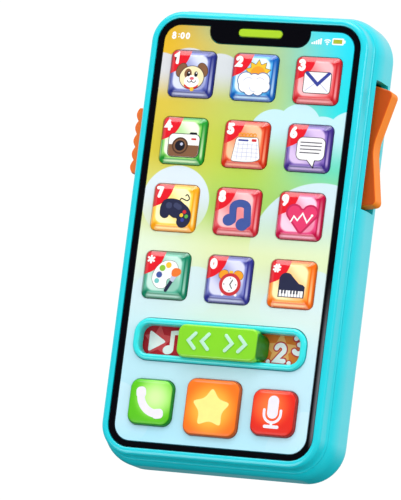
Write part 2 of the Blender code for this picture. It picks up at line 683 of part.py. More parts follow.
def make_mats():
    """Silicone mats with a dome under each key and button."""
    mat = part("keypad_mat", slab(rounded(64.0, 87.0, 2.0, (0, 95.0), 2), MAT_FRONT, MAT_BACK),
               at(0, MAT_FRONT, 95.0), "silicone")
    domes = bmesh.new()
    for _, centre, _ in key_places():
        rod(centre, 4.5, MAT_FRONT - 0.8, MAT_FRONT + 0.3, domes, 8, tip=3.2)
    join(mat, tool("key_domes", domes))
    mat = part("button_mat", slab(rounded(58.0, 18.0, 2.0, (0, 18.6), 2), MAT_FRONT, MAT_BACK),
               at(0, MAT_FRONT, 18.6), "silicone")
    holes = bmesh.new()
    for _, x, z, _, _ in BUTTONS:
        rod((x, z), 2.2, MAT_FRONT - 1, MAT_BACK + 1, holes, 8)
    cut(mat, tool("mat_holes", holes))


def make_circuit_board():
    """Main board with holes for the screw posts."""
    board = part("circuit_board", slab(rounded(66.0, 141.0, 6.0, (0, 75.6), 3), BOARD_FRONT, BOARD_BACK),
                 at(0, BOARD_FRONT, 75.6), "board")
    holes = bmesh.new()
    for centre in SCREW_PLACES:
        rod(centre, BOSS_RADIUS + GAP, BOARD_FRONT - 1, BOARD_BACK + 1, holes, 10)
    cut(board, tool("board_holes", holes))


def make_leds():
    """Lamp behind each lower button and behind the earpiece light."""
    dome = ((0.0, 1.4), (0.8, 1.15), (1.3, 0.6), (1.4, 0.0), (0.0, 0.0))
    for name, x, z, _, _ in BUTTONS:
        turned(name.replace("button", "led"), dome, at(x, MAT_BACK, z), (0, -1, 0), "lens", 8)
    turned("earpiece_led", dome, at(LIGHT_CENTRE[0], MAT_BACK, LIGHT_CENTRE[1]), (0, -1, 0), "lens", 8)


def screw_profile(length, head_height, head=SCREW_HEAD):
    """Pan-head screw from the top of its head to its point, seat at zero."""
    return ((0.0, head_height), (head * 0.72, head_height), (head, head_height * 0.55), (head, 0.0),
            (SCREW_SHANK, 0.0), (SCREW_SHANK, -length + 1.0), (0.0, -length))


def make_screws():
    """Six case screws and the battery door's screw."""
    for index, (x, z) in enumerate(SCREW_PLACES, start=1):
        seat = at(x, HEAD_SEAT + GAP, z)
        turned("case_screw_%d" % index, screw_profile(14.0, 1.7), seat, (0, 1, 0), "steel", 12)
    seat = at(0, BODY_DEPTH - 0.8, DOOR_SCREW_Z)
    turned("battery_door_screw", screw_profile(8.0, 0.75), seat, (0, 1, 0), "steel", 12)


def make_battery_door():
    """Flush battery door with a seat for its screw."""
    middle = (DOOR_TOP + DOOR_BOTTOM) / 2

    def outline(inset):
        return rounded(DOOR_WIDTH - 2 * inset, DOOR_TOP - DOOR_BOTTOM - 2 * inset, 3.0 - inset, (0, middle))
    sections = ((DOOR_FRONT, outline(0)), (BODY_DEPTH - 0.3, outline(0)), (BODY_DEPTH, outline(0.3)))
    door = part("battery_door", loft(sections), at(0, DOOR_FRONT, middle), "teal")
    seat = BODY_DEPTH - 0.8 - GAP
    steps = ((DOOR_FRONT - 1, SCREW_SHANK + GAP), (seat, SCREW_SHANK + GAP), (seat, SCREW_HEAD + GAP),
             (BODY_DEPTH + 1, SCREW_HEAD + GAP))
    hole = loft([(depth, circle((0, DOOR_SCREW_Z), radius, 12)) for depth, radius in steps])
    cut(door, tool("door_screw_hole", hole))


def make_cells():
    """Two AAA cells, one each way up."""
    body = CELL_LENGTH - 0.9
    profile = ((0.0, CELL_LENGTH), (1.9, CELL_LENGTH), (1.9, body), (CELL_RADIUS - 0.5, body),
               (CELL_RADIUS, body - 0.5), (CELL_RADIUS, 0.4), (CELL_RADIUS - 0.4, 0.0), (0.0, 0.0))
    gap = 0.9
    left = at(-CELL_X, CELL_DEPTH, BAY_TOP - gap - CELL_LENGTH)
    right = at(CELL_X, CELL_DEPTH, BAY_BOTTOM + gap + CELL_LENGTH)
    turned("battery_cell_left", profile, left, (0, 0, 1), "cell", 16)
    turned("battery_cell_right", profile, right, (0, 0, -1), "cell", 16)


def coil(name, x, base_z, direction):
    """Cone spring to be joined onto a contact plate."""
    turns = 3
    steps = 10
    height = 4.3
    curve = bpy.data.curves.new(name + "_wire", "CURVE")
    curve.dimensions = "3D"
    curve.bevel_depth = 0.35 * MM
    curve.bevel_resolution = 1
    curve.resolution_u = 1
    curve.render_resolution_u = 0
    curve.use_fill_caps = True
    spline = curve.splines.new("POLY")
    count = turns * steps + 1
    spline.points.add(count - 1)
    for index in range(count):
        angle = 2 * math.pi * index / steps
        radius = 3.6 - 1.6 * index / (count - 1)
        rise = direction * height * index / (count - 1)
        point = at(x + radius * math.cos(angle), CELL_DEPTH + radius * math.sin(angle), base_z + rise) * MM
        spline.points[index].co = (*point, 1.0)
    wire = bpy.data.objects.new(name + "_wire", curve)
    CUTTERS.objects.link(wire)
    bpy.context.view_layer.update()
    data = bpy.data.meshes.new_from_object(wire.evaluated_get(bpy.context.evaluated_depsgraph_get()))
    solid = bmesh.new()
    solid.from_mesh(data)
    bmesh.ops.remove_doubles(solid, verts=solid.verts, dist=0.00001)
    solid.to_mesh(data)
    solid.free()
    bpy.data.objects.remove(wire, do_unlink=True)
    spring = bpy.data.objects.new(name + "_coil", data)
    spring.hide_render = True
    spring.display_type = "WIRE"
    CUTTERS.objects.link(spring)
    return spring


def make_contacts():
    """Spring and plate contacts at both ends of the battery bay."""
    thick = 0.35
    half = 4.4
    near = CELL_DEPTH - half
    far = CELL_DEPTH + half
    low = BAY_BOTTOM + 0.2
    high = BAY_TOP - 0.2
    plate = block((-CELL_X - half, near, low), (-CELL_X + half, far, low + thick))
    spring = part("battery_spring_contact", plate, at(-CELL_X, CELL_DEPTH, low), "spring")
    join(spring, coil("negative", -CELL_X, low + 0.25, 1))
    plate = block((CELL_X - half, near, low), (CELL_X + half, far, low + thick))
    part("battery_plate_contact", plate, at(CELL_X, CELL_DEPTH, low), "spring")
    plate = block((-CELL_X - half, near, high - thick), (CELL_X + half, far, high))
    bridge = part("battery_bridge_contact", plate, at(0, CELL_DEPTH, high), "spring")
    join(bridge, coil("bridge", CELL_X, high - 0.25, -1))


def make_speaker():
    """Round loudspeaker facing the grille, magnet towards the board."""
    radius = SPEAKER_RADIUS
    profile = ((0.0, 4.0), (radius - 2.5, 3.2), (radius - 1.2, 4.6), (radius, 4.6), (radius, 2.2),
               (radius - 2.0, 1.8), (7.5, -0.8), (7.0, -0.8), (7.0, -4.4), (0.0, -4.4))
    turned("speaker", profile, at(0, BACK_INSIDE - GAP - 4.6, SPEAKER_Z), (0, 1, 0), "cell", 20)


def make_power_switch():
    """Three-position slide on the back and the switch that it moves."""
    def outline(width, height, radius):
        return rounded(width, height, radius, (0, SWITCH_Z), 2)
    flange_front = BACK_INSIDE - GAP - 1.2
    flange_back = BACK_INSIDE - GAP
    sections = ((flange_front, outline(16.2, 6.0, 0.8)), (flange_back, outline(16.2, 6.0, 0.8)),
                (flange_back, outline(5.4, 2.8, 0.6)), (BODY_DEPTH - 0.3, outline(5.4, 2.8, 0.6)),
                (BODY_DEPTH - 0.1, outline(5.0, 2.4, 0.4)))
    part("power_switch", loft(sections), at(0, flange_back, SWITCH_Z), "black")
    part("power_switch_body", block((-6.0, flange_front - GAP - 3.6, SWITCH_Z - 3.0),
                                    (6.0, flange_front - GAP, SWITCH_Z + 3.0)),
         at(0, flange_front, SWITCH_Z), "steel")


def make_wire(name, points, material):
    """Thin insulated wire through points given as (x, depth, z)."""
    curve = bpy.data.curves.new(name, "CURVE")
    curve.dimensions = "3D"
    curve.bevel_depth = 0.45 * MM
    curve.bevel_resolution = 1
    curve.resolution_u = 1
    curve.render_resolution_u = 0
    curve.use_fill_caps = True
    spline = curve.splines.new("POLY")
    spline.points.add(len(points) - 1)
    for knot, point in zip(spline.points, points):
        knot.co = (*(at(*point) * MM), 1.0)
    curve.materials.append(finish(material))
    wire = bpy.data.objects.new(name, curve)
    PARTS.objects.link(wire)


def make_wires():
    """Speaker and battery leads, each running from its terminal to the board."""
    board = BOARD_BACK + GAP
    for side, colour in ((-1, "red"), (1, "black")):
        make_wire("speaker_wire_" + colour,
                  ((side * 3.0, 13.8, 106.6), (side * 3.0, 12.6, 103.0), (side * 3.6, 11.0, 99.5),
                   (side * 4.4, board, 97.6)), colour)
        make_wire("battery_wire_" + colour,
                  ((side * 15.0, 17.0, 40.0), (side * 15.6, 14.0, 43.0), (side * 16.6, 11.4, 46.0),
                   (side * 17.6, board, 48.0)), colour)


def main():
    """Build every piece."""
    make_front_housing()
    make_rear_housing()
    make_screen_bezel()
    make_screen_panel()
    make_earpiece_light()
    for name, centre, material in key_places():
        make_key(name, centre, material)
    for button in BUTTONS:
        make_button(*button)
    make_slider_surround()
    make_slider_label()
    make_slider_knob()
    make_slider_carriage()
    make_side_rocker()
    make_side_slide()
    make_mats()
    make_circuit_board()
    make_leds()
    make_screws()
    make_battery_door()
    make_cells()
    make_contacts()
    make_speaker()
    make_power_switch()
    make_wires()


clear_scene()
PARTS = new_collection("toy_cell_phone")
CUTTERS = new_collection("cutters")
main()
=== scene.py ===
"""Looks of the toy cell phone: finer shells, keys, buttons, printed icons, materials and light.

Like the CAD, the helpers take millimetres.  A depth is measured from the screen's
surface towards the back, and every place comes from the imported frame.
"""

import json
import math

import bmesh
import bpy
from mathutils import Matrix, Vector


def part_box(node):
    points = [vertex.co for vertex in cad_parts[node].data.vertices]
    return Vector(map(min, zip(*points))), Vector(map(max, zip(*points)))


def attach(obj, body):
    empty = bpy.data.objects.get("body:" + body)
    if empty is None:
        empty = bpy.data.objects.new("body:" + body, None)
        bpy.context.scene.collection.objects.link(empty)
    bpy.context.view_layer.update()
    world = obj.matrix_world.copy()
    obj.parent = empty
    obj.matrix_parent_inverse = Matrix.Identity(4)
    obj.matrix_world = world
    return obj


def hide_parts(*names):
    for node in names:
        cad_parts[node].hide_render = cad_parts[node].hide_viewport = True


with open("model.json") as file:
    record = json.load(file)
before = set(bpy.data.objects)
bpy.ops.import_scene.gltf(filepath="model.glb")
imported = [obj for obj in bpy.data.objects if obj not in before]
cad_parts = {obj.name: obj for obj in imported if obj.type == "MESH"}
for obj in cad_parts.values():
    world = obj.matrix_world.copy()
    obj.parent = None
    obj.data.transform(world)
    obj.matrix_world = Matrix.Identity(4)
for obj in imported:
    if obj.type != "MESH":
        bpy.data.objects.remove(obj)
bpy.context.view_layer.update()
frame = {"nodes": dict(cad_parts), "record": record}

MM = 0.001


def box_mm(node):
    """Lowest and highest corner of a CAD node in millimetres."""
    low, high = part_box(node)
    return low / MM, high / MM


BEZEL_LOW, BEZEL_HIGH = box_mm("screen_bezel")
SHELL_LOW, SHELL_HIGH = box_mm("front_housing")
REAR_LOW, REAR_HIGH = box_mm("rear_housing")
SCREEN_Y = BEZEL_LOW.y
RECESS_GAP = 0.15                           # between the bezel and its recess
GAP = 0.3                                   # between pieces in the CAD
CAP_GAP = 0.14                              # between a drawn cap and its window
FLANGE = 0.8                                # how far a key's foot reaches out behind the sheet
FOOT_DEPTH = 1.0
BEZEL_WIDTH = BEZEL_HIGH.x - BEZEL_LOW.x + 2 * RECESS_GAP
BEZEL_HEIGHT = BEZEL_HIGH.z - BEZEL_LOW.z + 2 * RECESS_GAP
BODY_MID_Z = (BEZEL_HIGH.z + BEZEL_LOW.z) / 2
BEZEL_RADIUS = 8.0
BODY_OUTSET = (SHELL_HIGH.x - SHELL_LOW.x - BEZEL_WIDTH) / 2
BODY_DEPTH = REAR_HIGH.y - SCREEN_Y
BEAD_DEPTH = 1.1
BEAD_RADIUS = SCREEN_Y - SHELL_LOW.y + BEAD_DEPTH
BEAD_OUT = 0.9
REAR_OUTSET = (REAR_HIGH.x - REAR_LOW.x - BEZEL_WIDTH) / 2
REAR_DROP = BODY_MID_Z + BEZEL_HEIGHT / 2 + REAR_OUTSET - REAR_HIGH.z
REAR_FLARE = 6.8
BACK_ROUND = 7.0
LIFT = BEZEL_LOW.z - RECESS_GAP - 2.35      # heights of the prints are measured from here
PARTING_FRONT = 5.3
PARTING_BACK = REAR_LOW.y - SCREEN_Y
TONGUE_BACK = SHELL_HIGH.y - SCREEN_Y
TONGUE_OUT = 0.3
DECK_FRONT = 1.8
DECK_BACK = 3.3
BACK_INSIDE = 23.6
RING_RADIUS = 5.4
ROCKER_HALF = 21.8                          # half the height of the rocker's opening
ROCKER_RELIEF = ((6.0, 40.87), (10.6, 38.91))   # depth and X along the slope ahead of the rocker
BEYOND_SIDE = 45.0                          # X that is clear of the shells
PIN_BORE = 1.3
SHANK_BORE = 1.5
SLIDE_DEPTHS = (6.0, 10.6)                  # front and back of the ribbed piece
KEYS = ("1", "2", "3", "4", "5", "6", "7", "8", "9", "star", "0", "hash")
WINDOWED = ["app_key_" + key for key in KEYS] + ["call_button", "star_button", "mic_button"]
CASE_SCREWS = ["case_screw_%d" % index for index in range(1, 7)]
SLOTS = {entry["node"]: entry["material_slot"] for entry in frame["record"]["subparts"]}


class Place:
    """Where a CAD node lies, in millimetres: its corners, its middle in X and Z, and its depths."""

    def __init__(self, node):
        self.low, self.high = box_mm(node)
        self.centre = ((self.low.x + self.high.x) / 2, (self.low.z + self.high.z) / 2)
        self.origin = at(self.centre[0], 0, self.centre[1])
        self.width = self.high.x - self.low.x
        self.height = self.high.z - self.low.z
        self.front = self.low.y - SCREEN_Y
        self.back = self.high.y - SCREEN_Y


def at(x, depth, z):
    """Point in the frame, in millimetres, from a depth behind the screen surface."""
    return Vector((x, SCREEN_Y + depth, z))


# ---------------------------------------------------------------- shader helpers


def linear(red, green, blue):
    """Linear colour from display values of 0 to 255."""
    return tuple(((value / 255) / 12.92 if value <= 10 else ((value / 255 + 0.055) / 1.055) ** 2.4)
                 for value in (red, green, blue)) + (1.0,)


class Nodes:
    """Short ways to add and wire the nodes of a tree."""

    def __init__(self, tree):
        self.tree = tree

    def node(self, kind, **settings):
        made = self.tree.nodes.new("ShaderNode" + kind)
        for key, value in settings.items():
            setattr(made, key, value)
        return made

    def feed(self, socket, value):
        if isinstance(value, bpy.types.NodeSocket):
            self.tree.links.new(value, socket)
        else:
            socket.default_value = value

    def wire(self, kind, *values, output=0, **settings):
        """Add a node, feed its inputs in order and return one of its outputs."""
        made = self.node(kind, **settings)
        for socket, value in zip(made.inputs, values):
            self.feed(socket, value)
        return made.outputs[output]

    def math(self, operation, *values):
        return self.wire("Math", *values, operation=operation)

    def times(self, first, *others):
        """Product of two or more values."""
        for other in others:
            first = self.math("MULTIPLY", first, other)
        return first

    def away(self, value, middle):
        """Distance of a value from a middle one."""
        return self.math("ABSOLUTE", self.math("SUBTRACT", value, middle))

    def length(self, side, rise):
        return self.math("SQRT", self.math("MULTIPLY_ADD", side, side, self.times(rise, rise)))

    def ramp(self, value, low, high, at_low, at_high):
        """Value that changes smoothly from `at_low` to `at_high`."""
        return self.wire("MapRange", value, low, high, at_low, at_high, interpolation_type="SMOOTHSTEP")

    def fade(self, value, start, end):
        """1 at `start`, falling smoothly to 0 at `end`."""
        return self.ramp(value, start, end, 1.0, 0.0)


class Shader(Nodes):
    """A Principled material."""

    def __init__(self, name):
        self.material = bpy.data.materials.new(name)
        self.material.use_nodes = True
        super().__init__(self.material.node_tree)
        self.surface = self.tree.nodes["Principled BSDF"]

    def set(self, **inputs):
        for key, value in inputs.items():
            self.feed(self.surface.inputs[key.replace("_", " ")], value)

    def part(self, space, axis):
        """One axis of a kind of texture coordinates."""
        return self.wire("SeparateXYZ", self.wire("TexCoord", output=space), output=axis)

    def place(self, x=0.0, z=0.0):
        """X and Z of the shaded point in millimetres, measured from (x, z)."""
        return [self.math("MULTIPLY_ADD", self.part("Object", axis), 1 / MM, -start)
                for axis, start in (("X", x), ("Z", z))]

    def distance(self, across, up, x, z):
        """Distance in the X-Z plane from (x, z)."""
        return self.length(self.math("SUBTRACT", across, x), self.math("SUBTRACT", up, z))

    def rounded_box(self, across, up, x, z, half, radius):
        """Signed distance from a rounded square."""
        beyond = [self.math("SUBTRACT", self.away(value, middle), half - radius)
                  for value, middle in ((across, x), (up, z))]
        side, rise = (self.math("MAXIMUM", value, 0.0) for value in beyond)
        return self.math("SUBTRACT", self.length(side, rise), radius)

    def mix(self, factor, first, second):
        """`first` where the factor is 0, `second` where it is 1."""
        made = self.node("Mix", data_type="RGBA")
        for index, value in ((0, factor), (6, first), (7, second)):
            self.feed(made.inputs[index], value)
        return made.outputs[2]

    def grain(self, scale, detail=3.0):
        made = self.node("TexNoise")
        self.feed(made.inputs["Vector"], self.wire("TexCoord", output="Object"))
        self.feed(made.inputs["Scale"], scale)
        self.feed(made.inputs["Detail"], detail)
        return made.outputs["Fac"]

    def mottle(self, colour, amount=0.05, scale=60.0):
        """Colour with a slight cloudy variation."""
        dark = tuple(channel * (1 - amount) for channel in colour[:3]) + (1.0,)
        light = tuple(min(1.0, channel * (1 + amount)) for channel in colour[:3]) + (1.0,)
        return self.mix(self.grain(scale, 2.0), dark, light)

    def finish(self, scale, height, **inputs):
        """Set the surface, add a fine moulded unevenness and return the material."""
        bump = self.node("Bump")
        for name, value in (("Strength", 1.0), ("Distance", height * MM), ("Height", self.grain(scale))):
            self.feed(bump.inputs[name], value)
        self.set(Normal=bump.outputs[0], **inputs)
        return self.material


def gloss_plastic(name, colour, roughness=0.28, coat=0.4, glow=0.0):
    """Moulded plastic with cloudy colour, fine orange peel and a soft coat."""
    shader = Shader(name)
    tint = shader.mottle(colour)
    if glow:
        shader.set(Emission_Color=tint, Emission_Strength=glow)
    return shader.finish(900.0, 0.004, Base_Color=tint, Roughness=roughness, Coat_Weight=coat,
                         Coat_Roughness=0.08)


def ink(name, colour):
    """Printed ink under a clear coat."""
    shader = Shader(name)
    return shader.finish(2500.0, 0.002, Base_Color=shader.mottle(colour, 0.07, 400.0), Roughness=0.3,
                         Coat_Weight=0.5, Coat_Roughness=0.05)


def metal(name, colour, roughness=0.3):
    """Plated or stamped metal with faint streaks."""
    shader = Shader(name)
    polish = shader.math("MULTIPLY_ADD", shader.grain(300.0), 0.2, roughness - 0.1)
    return shader.finish(1500.0, 0.003, Base_Color=shader.mottle(colour, 0.12, 500.0), Metallic=1.0,
                         Roughness=polish)


def rubbery(name, colour):
    """Matt silicone or wire insulation."""
    shader = Shader(name)
    return shader.finish(1200.0, 0.01, Base_Color=shader.mottle(colour, 0.08, 200.0), Roughness=0.65)


# ---------------------------------------------------------------- the printed screen

# height in mm, then the colour at the left edge, the middle and the right edge
SKY_ROWS = (
    (4.0, (166, 222, 242), (172, 224, 240), (176, 224, 240)),
    (30.0, (178, 222, 234), (182, 222, 232), (186, 224, 236)),
    (52.0, (196, 224, 228), (204, 224, 214), (208, 228, 222)),
    (70.0, (216, 232, 206), (214, 226, 170), (214, 230, 180)),
    (86.0, (206, 212, 120), (158, 202, 84), (150, 206, 132)),
    (104.0, (206, 190, 50), (184, 206, 70), (80, 212, 186)),
    (121.0, (212, 188, 60), (182, 200, 96), (0, 214, 222)),
    (138.0, (220, 176, 26), (170, 194, 128), (0, 212, 230)),
    (146.0, (212, 166, 10), (110, 196, 168), (0, 216, 244)),
)
# circles (x, z, radius), heights where the cloud is full and where it has gone, colour, strength
CLOUDS = (
    (((-34, 127, 9), (-24, 128, 10), (-13, 127.2, 9.4), (-4, 125, 7)), 131, 119, (208, 214, 224), 0.9),
    (((9, 110, 8.8), (17.6, 113.2, 7.8), (26, 108.6, 8.6), (36, 110.6, 8.8), (18, 103, 10), (30, 102, 12)),
     113, 98, (192, 228, 238), 0.95),
    (((-22.5, 85.8, 12.0),), 90, 69, (212, 226, 238), 0.95),
    (((29, 71.4, 23.5),), 88, 66, (206, 226, 238), 0.9),
    (((-12, 56, 8.3), (-25, 53, 9), (30, 57, 8.6), (20, 52, 8)), 60, 46, (202, 226, 236), 0.75),
    (((-34, 17, 7), (-28, 10, 6), (33, 12, 7), (26, 6, 6)), 14, 2, (202, 232, 244), 0.5),
)


def screen_print():
    """Sky gradient from gold to cyan to pale blue, with soft clouds."""
    shader = Shader("screen_print")
    across, up = shader.place(0.0, LIFT)
    sky = None
    level = 0.0
    for height, *colours in SKY_ROWS:
        row = shader.node("ValToRGB")
        row.color_ramp.interpolation = "EASE"
        row.color_ramp.elements.new(0.5)
        for stop, colour in zip(row.color_ramp.elements, colours):
            stop.color = linear(*colour)
        shader.feed(row.inputs[0], shader.math("MULTIPLY_ADD", across, 1 / 68, 0.5))
        tint = row.outputs[0]
        sky = tint if sky is None else shader.mix(shader.fade(up, height, level), sky, tint)
        level = height
    for circles, full, gone, colour, strength in CLOUDS:
        edges = [shader.math("SUBTRACT", shader.distance(across, up, x, z), radius)
                 for x, z, radius in circles]
        nearest = edges[0]
        for edge in edges[1:]:
            nearest = shader.math("MINIMUM", nearest, edge)
        cover = shader.times(shader.fade(nearest, -0.25, 0.15), shader.fade(up, full, gone), strength)
        sky = shader.mix(cover, sky, linear(*colour))
    # faint painted glow: the printed sky is also given as emission
    return shader.finish(500.0, 0.002, Base_Color=sky, Roughness=0.3, Coat_Weight=0.3, Coat_Roughness=0.04,
                         Emission_Color=sky, Emission_Strength=0.1)


# ---------------------------------------------------------------- other materials


def rocker_plastic():
    """Orange plastic with painted shade: a deeper orange on the faces turned to the front."""
    shader = Shader("rocker_orange")
    # painted shade: faces turned to the front get the deeper orange
    front = shader.fade(shader.part("Normal", "Y"), -0.85, -0.45)
    body = shader.mix(front, shader.mottle(linear(250, 136, 24)), linear(208, 78, 0))
    return shader.finish(900.0, 0.004, Base_Color=body, Roughness=0.45, Specular_IOR_Level=0.2)


def bezel_plastic():
    """Glossy black with a painted grey reflection down the right edge."""
    shader = Shader("bezel_black")
    across, up = shader.place(0.0, LIFT)
    edge = BEZEL_WIDTH / 2
    # painted reflection: a grey strip down the right edge, between given heights
    painted_reflection = shader.times(shader.fade(across, edge - 0.2, edge - 1.6), shader.fade(up, 40.0, 66.0),
                         shader.fade(up, 12.0, 4.0))
    body = shader.mix(painted_reflection, shader.mottle(linear(6, 6, 12)), linear(110, 112, 118))
    return shader.finish(900.0, 0.002, Base_Color=body, Roughness=0.12, Coat_Weight=0.2, Coat_Roughness=0.08)


def knob_plastic(half):
    """Green knob with painted shade that makes its end walls darker than its face."""
    shader = Shader("knob_green")
    across, _ = shader.place()
    # painted shade: dark green on the end walls
    wall = shader.fade(across, half - 0.05, half - 0.5)
    body = shader.mix(wall, shader.mottle(linear(132, 216, 24)), linear(16, 114, 6))
    return shader.finish(900.0, 0.004, Base_Color=body, Roughness=0.3, Coat_Weight=0.2, Coat_Roughness=0.08)


def label_print():
    """Slider label: red at the left half, orange at the right half."""
    shader = Shader("label_print")
    across, _ = shader.place(*Place("slider_label").centre)
    burst = shader.grain(260.0)
    red = shader.mix(burst, linear(172, 20, 34), linear(206, 42, 54))
    orange = shader.mix(burst, linear(212, 100, 20), linear(236, 138, 54))
    return shader.finish(700.0, 0.003, Base_Color=shader.mix(shader.fade(across, -0.1, 0.1), orange, red),
                         Roughness=0.35, Specular_IOR_Level=0.15)


def key_plastic(name, deep, middle, pale):
    """Clear picture key with a red badge and painted light: a pale highlight patch, painted shade of deep
    colour in the corners and round the rim, highlight streaks on the right and bottom slopes and a faint glow.
    """
    shader = Shader(name)
    across, up = shader.place()
    side = shader.math("ABSOLUTE", across)
    rise = shader.math("ABSOLUTE", up)
    far = shader.math("MAXIMUM", side, rise)
    near = shader.math("MINIMUM", side, rise)
    # painted shade: the corners of the face get the deep colour
    body = shader.mix(shader.fade(near, 6.2, 4.2), middle, deep)
    # painted highlight: a pale rounded patch on the face, strongest towards the upper right and lower left
    lens = shader.rounded_box(across, up, -0.3, 0.4, 6.1, 2.8)
    diagonal = shader.math("ABSOLUTE", shader.math("ADD", across, up))
    glow = shader.math("MULTIPLY_ADD", shader.fade(diagonal, 7.5, 1.5), 0.65, 0.35)
    body = shader.mix(shader.times(shader.fade(lens, -0.6, 0.2), glow), body, pale)
    badge = shader.fade(shader.distance(across, up, -8.6, 7.6), 7.7, 7.85)
    body = shader.mix(badge, body, shader.mottle(linear(222, 28, 42), 0.1, 300.0))
    # painted shade and highlight on the slopes at right and bottom: deep colour with a pale highlight streak,
    # in red on the badge
    lower_right = shader.math("MAXIMUM", across, shader.times(up, -1.0))
    upper_left = shader.math("MAXIMUM", up, shader.times(across, -1.0))
    slope = shader.math("MAXIMUM", lower_right, shader.math("SUBTRACT", upper_left, 0.75))
    edge = shader.mix(badge, deep, linear(186, 20, 34))
    crest = shader.mix(badge, shader.mix(0.5, middle, pale), linear(236, 60, 66))
    slope_highlight = shader.times(shader.fade(shader.away(slope, 7.05), 0.05, 0.55), shader.fade(near, 4.6, 6.9),
                          shader.fade(up, -7.5, 9.0))
    body = shader.mix(shader.fade(slope, 6.5, 6.1), body, shader.mix(slope_highlight, edge, crest))
    # painted shade: a dark rim round the key's outer edge
    dark = tuple(channel * 0.4 for channel in deep[:3]) + (1.0,)
    body = shader.mix(shader.times(shader.fade(far, 7.85, 7.45), 0.6), body, dark)
    # faint painted glow: the key's colour is also given as emission
    return shader.finish(300.0, 0.004, Base_Color=body, Roughness=0.16, Coat_Weight=0.45, Coat_Roughness=0.02,
                         IOR=1.4, Emission_Color=body, Emission_Strength=0.08)


def lit_plastic(name, half, side, edge, middle, glow, x, z):
    """Translucent button with painted light: a glow brightest round a given point, as if lit from behind,
    painted shade that darkens its sides, a highlight line near its top and a faint glow.
    """
    shader = Shader(name)
    across, up = shader.place()
    # painted glow: from the edge colour to the middle and the glow colour round the point (x, z)
    lamp = shader.distance(across, up, x, z)
    body = shader.mix(shader.fade(lamp, 3.0, half + 1.5), edge, middle)
    body = shader.mix(shader.fade(lamp, 0.5, 1.08 * half), body, glow)
    # painted shade: the button's sides get the side colour
    far = shader.rounded_box(across, up, 0.0, 0.0, half, 3.2)
    body = shader.mix(shader.fade(far, -0.05, -0.4), body, side)
    # painted highlight: a thin white line near the top edge
    line = shader.times(shader.fade(shader.away(up, half - 1.0), 0.1, 0.35),
                        shader.fade(shader.math("ABSOLUTE", across), half - 3.5, half - 1.8), 0.1)
    body = shader.mix(line, body, (1, 1, 1, 1))
    # faint painted glow: the button's colour is also given as emission
    return shader.finish(700.0, 0.004, Base_Color=body, Roughness=0.4, Specular_IOR_Level=0.3,
                         Coat_Weight=0.08, Coat_Roughness=0.06, Emission_Color=body, Emission_Strength=0.06)


def cell_sleeve():
    """Battery sleeve: dark body with a copper band at one end."""
    shader = Shader("cell_sleeve")
    _, up = shader.place(0.0, LIFT)
    band = shader.fade(up, 74.0, 74.3)
    body = shader.mix(band, linear(196, 120, 60), shader.mottle(linear(34, 36, 42), 0.1, 200.0))
    return shader.finish(900.0, 0.003, Base_Color=body, Roughness=0.3, Metallic=0.6, Coat_Weight=0.4)


TEAL_PLASTIC = gloss_plastic("housing_teal", linear(3, 208, 222), 0.3, 0.25)
SCREW_STEEL = metal("screw_steel", linear(190, 190, 194))


# ---------------------------------------------------------------- mesh helpers


def quarter(steps, first=0):
    """Sine and cosine at equal steps over a quarter turn."""
    angles = [math.radians(90 * step / steps) for step in range(first, steps + 1)]
    return [(math.sin(angle), math.cos(angle)) for angle in angles]


def rounded(width, height, radius, centre=(0.0, BODY_MID_Z), steps=8):
    """Rounded rectangle in X-Z, anticlockwise seen from the front."""
    points = []
    for quadrant, (side_x, side_z) in enumerate(((1, 1), (-1, 1), (-1, -1), (1, -1))):
        corner_x = centre[0] + side_x * (width / 2 - radius)
        corner_z = centre[1] + side_z * (height / 2 - radius)
        for step in range(steps + 1):
            angle = math.radians(90 * quadrant + 90 * step / steps)
            points.append((corner_x + radius * math.cos(angle), corner_z + radius * math.sin(angle)))
    return points


def body_outline(outset, drop=0.0):
    """Outline of the phone at a distance outside the bezel's edge."""
    return rounded(BEZEL_WIDTH + 2 * outset, BEZEL_HEIGHT + 2 * outset, BEZEL_RADIUS + outset,
                   (0.0, BODY_MID_Z - drop), 16)


def circle(centre, radius, steps=24):
    """Round outline, anticlockwise seen from the front."""
    angles = [2 * math.pi * step / steps for step in range(steps)]
    return [(centre[0] + radius * math.cos(angle), centre[1] + radius * math.sin(angle)) for angle in angles]


def loft(sections, into=None, ink_index=0, looped=False):
    """Mesh through outlines given front to back as (depth, points), with ends or looped round."""
    mesh = into or bmesh.new()
    rings = [[mesh.verts.new(at(x, depth, z)) for x, z in points] for depth, points in sections]
    faces = [] if looped else [mesh.faces.new(rings[0]), mesh.faces.new(list(reversed(rings[-1])))]
    for near, far in zip(rings, rings[1:] + (rings[:1] if looped else [])):
        for index, corner in enumerate(near):
            following = (index + 1) % len(near)
            faces.append(mesh.faces.new((corner, far[index], far[following], near[following])))
    for face in faces:
        face.material_index = ink_index
    return mesh


def slab(points, front, back, into=None):
    """Flat-sided solid with one outline."""
    return loft(((front, points), (back, points)), into)


def block(low, high, into=None):
    """Plain box between two corners, each (x, depth, z)."""
    mesh = into or bmesh.new()
    low_point = at(*low)
    high_point = at(*high)
    size = high_point - low_point
    matrix = Matrix.Translation((low_point + high_point) / 2) @ Matrix.Diagonal((*size, 1.0))
    bmesh.ops.create_cube(mesh, size=1.0, matrix=matrix)
    return mesh


def add(name, data):
    """Put a mesh, light or camera into the scene."""
    item = bpy.data.objects.new(name, data)
    bpy.context.scene.collection.objects.link(item)
    return item


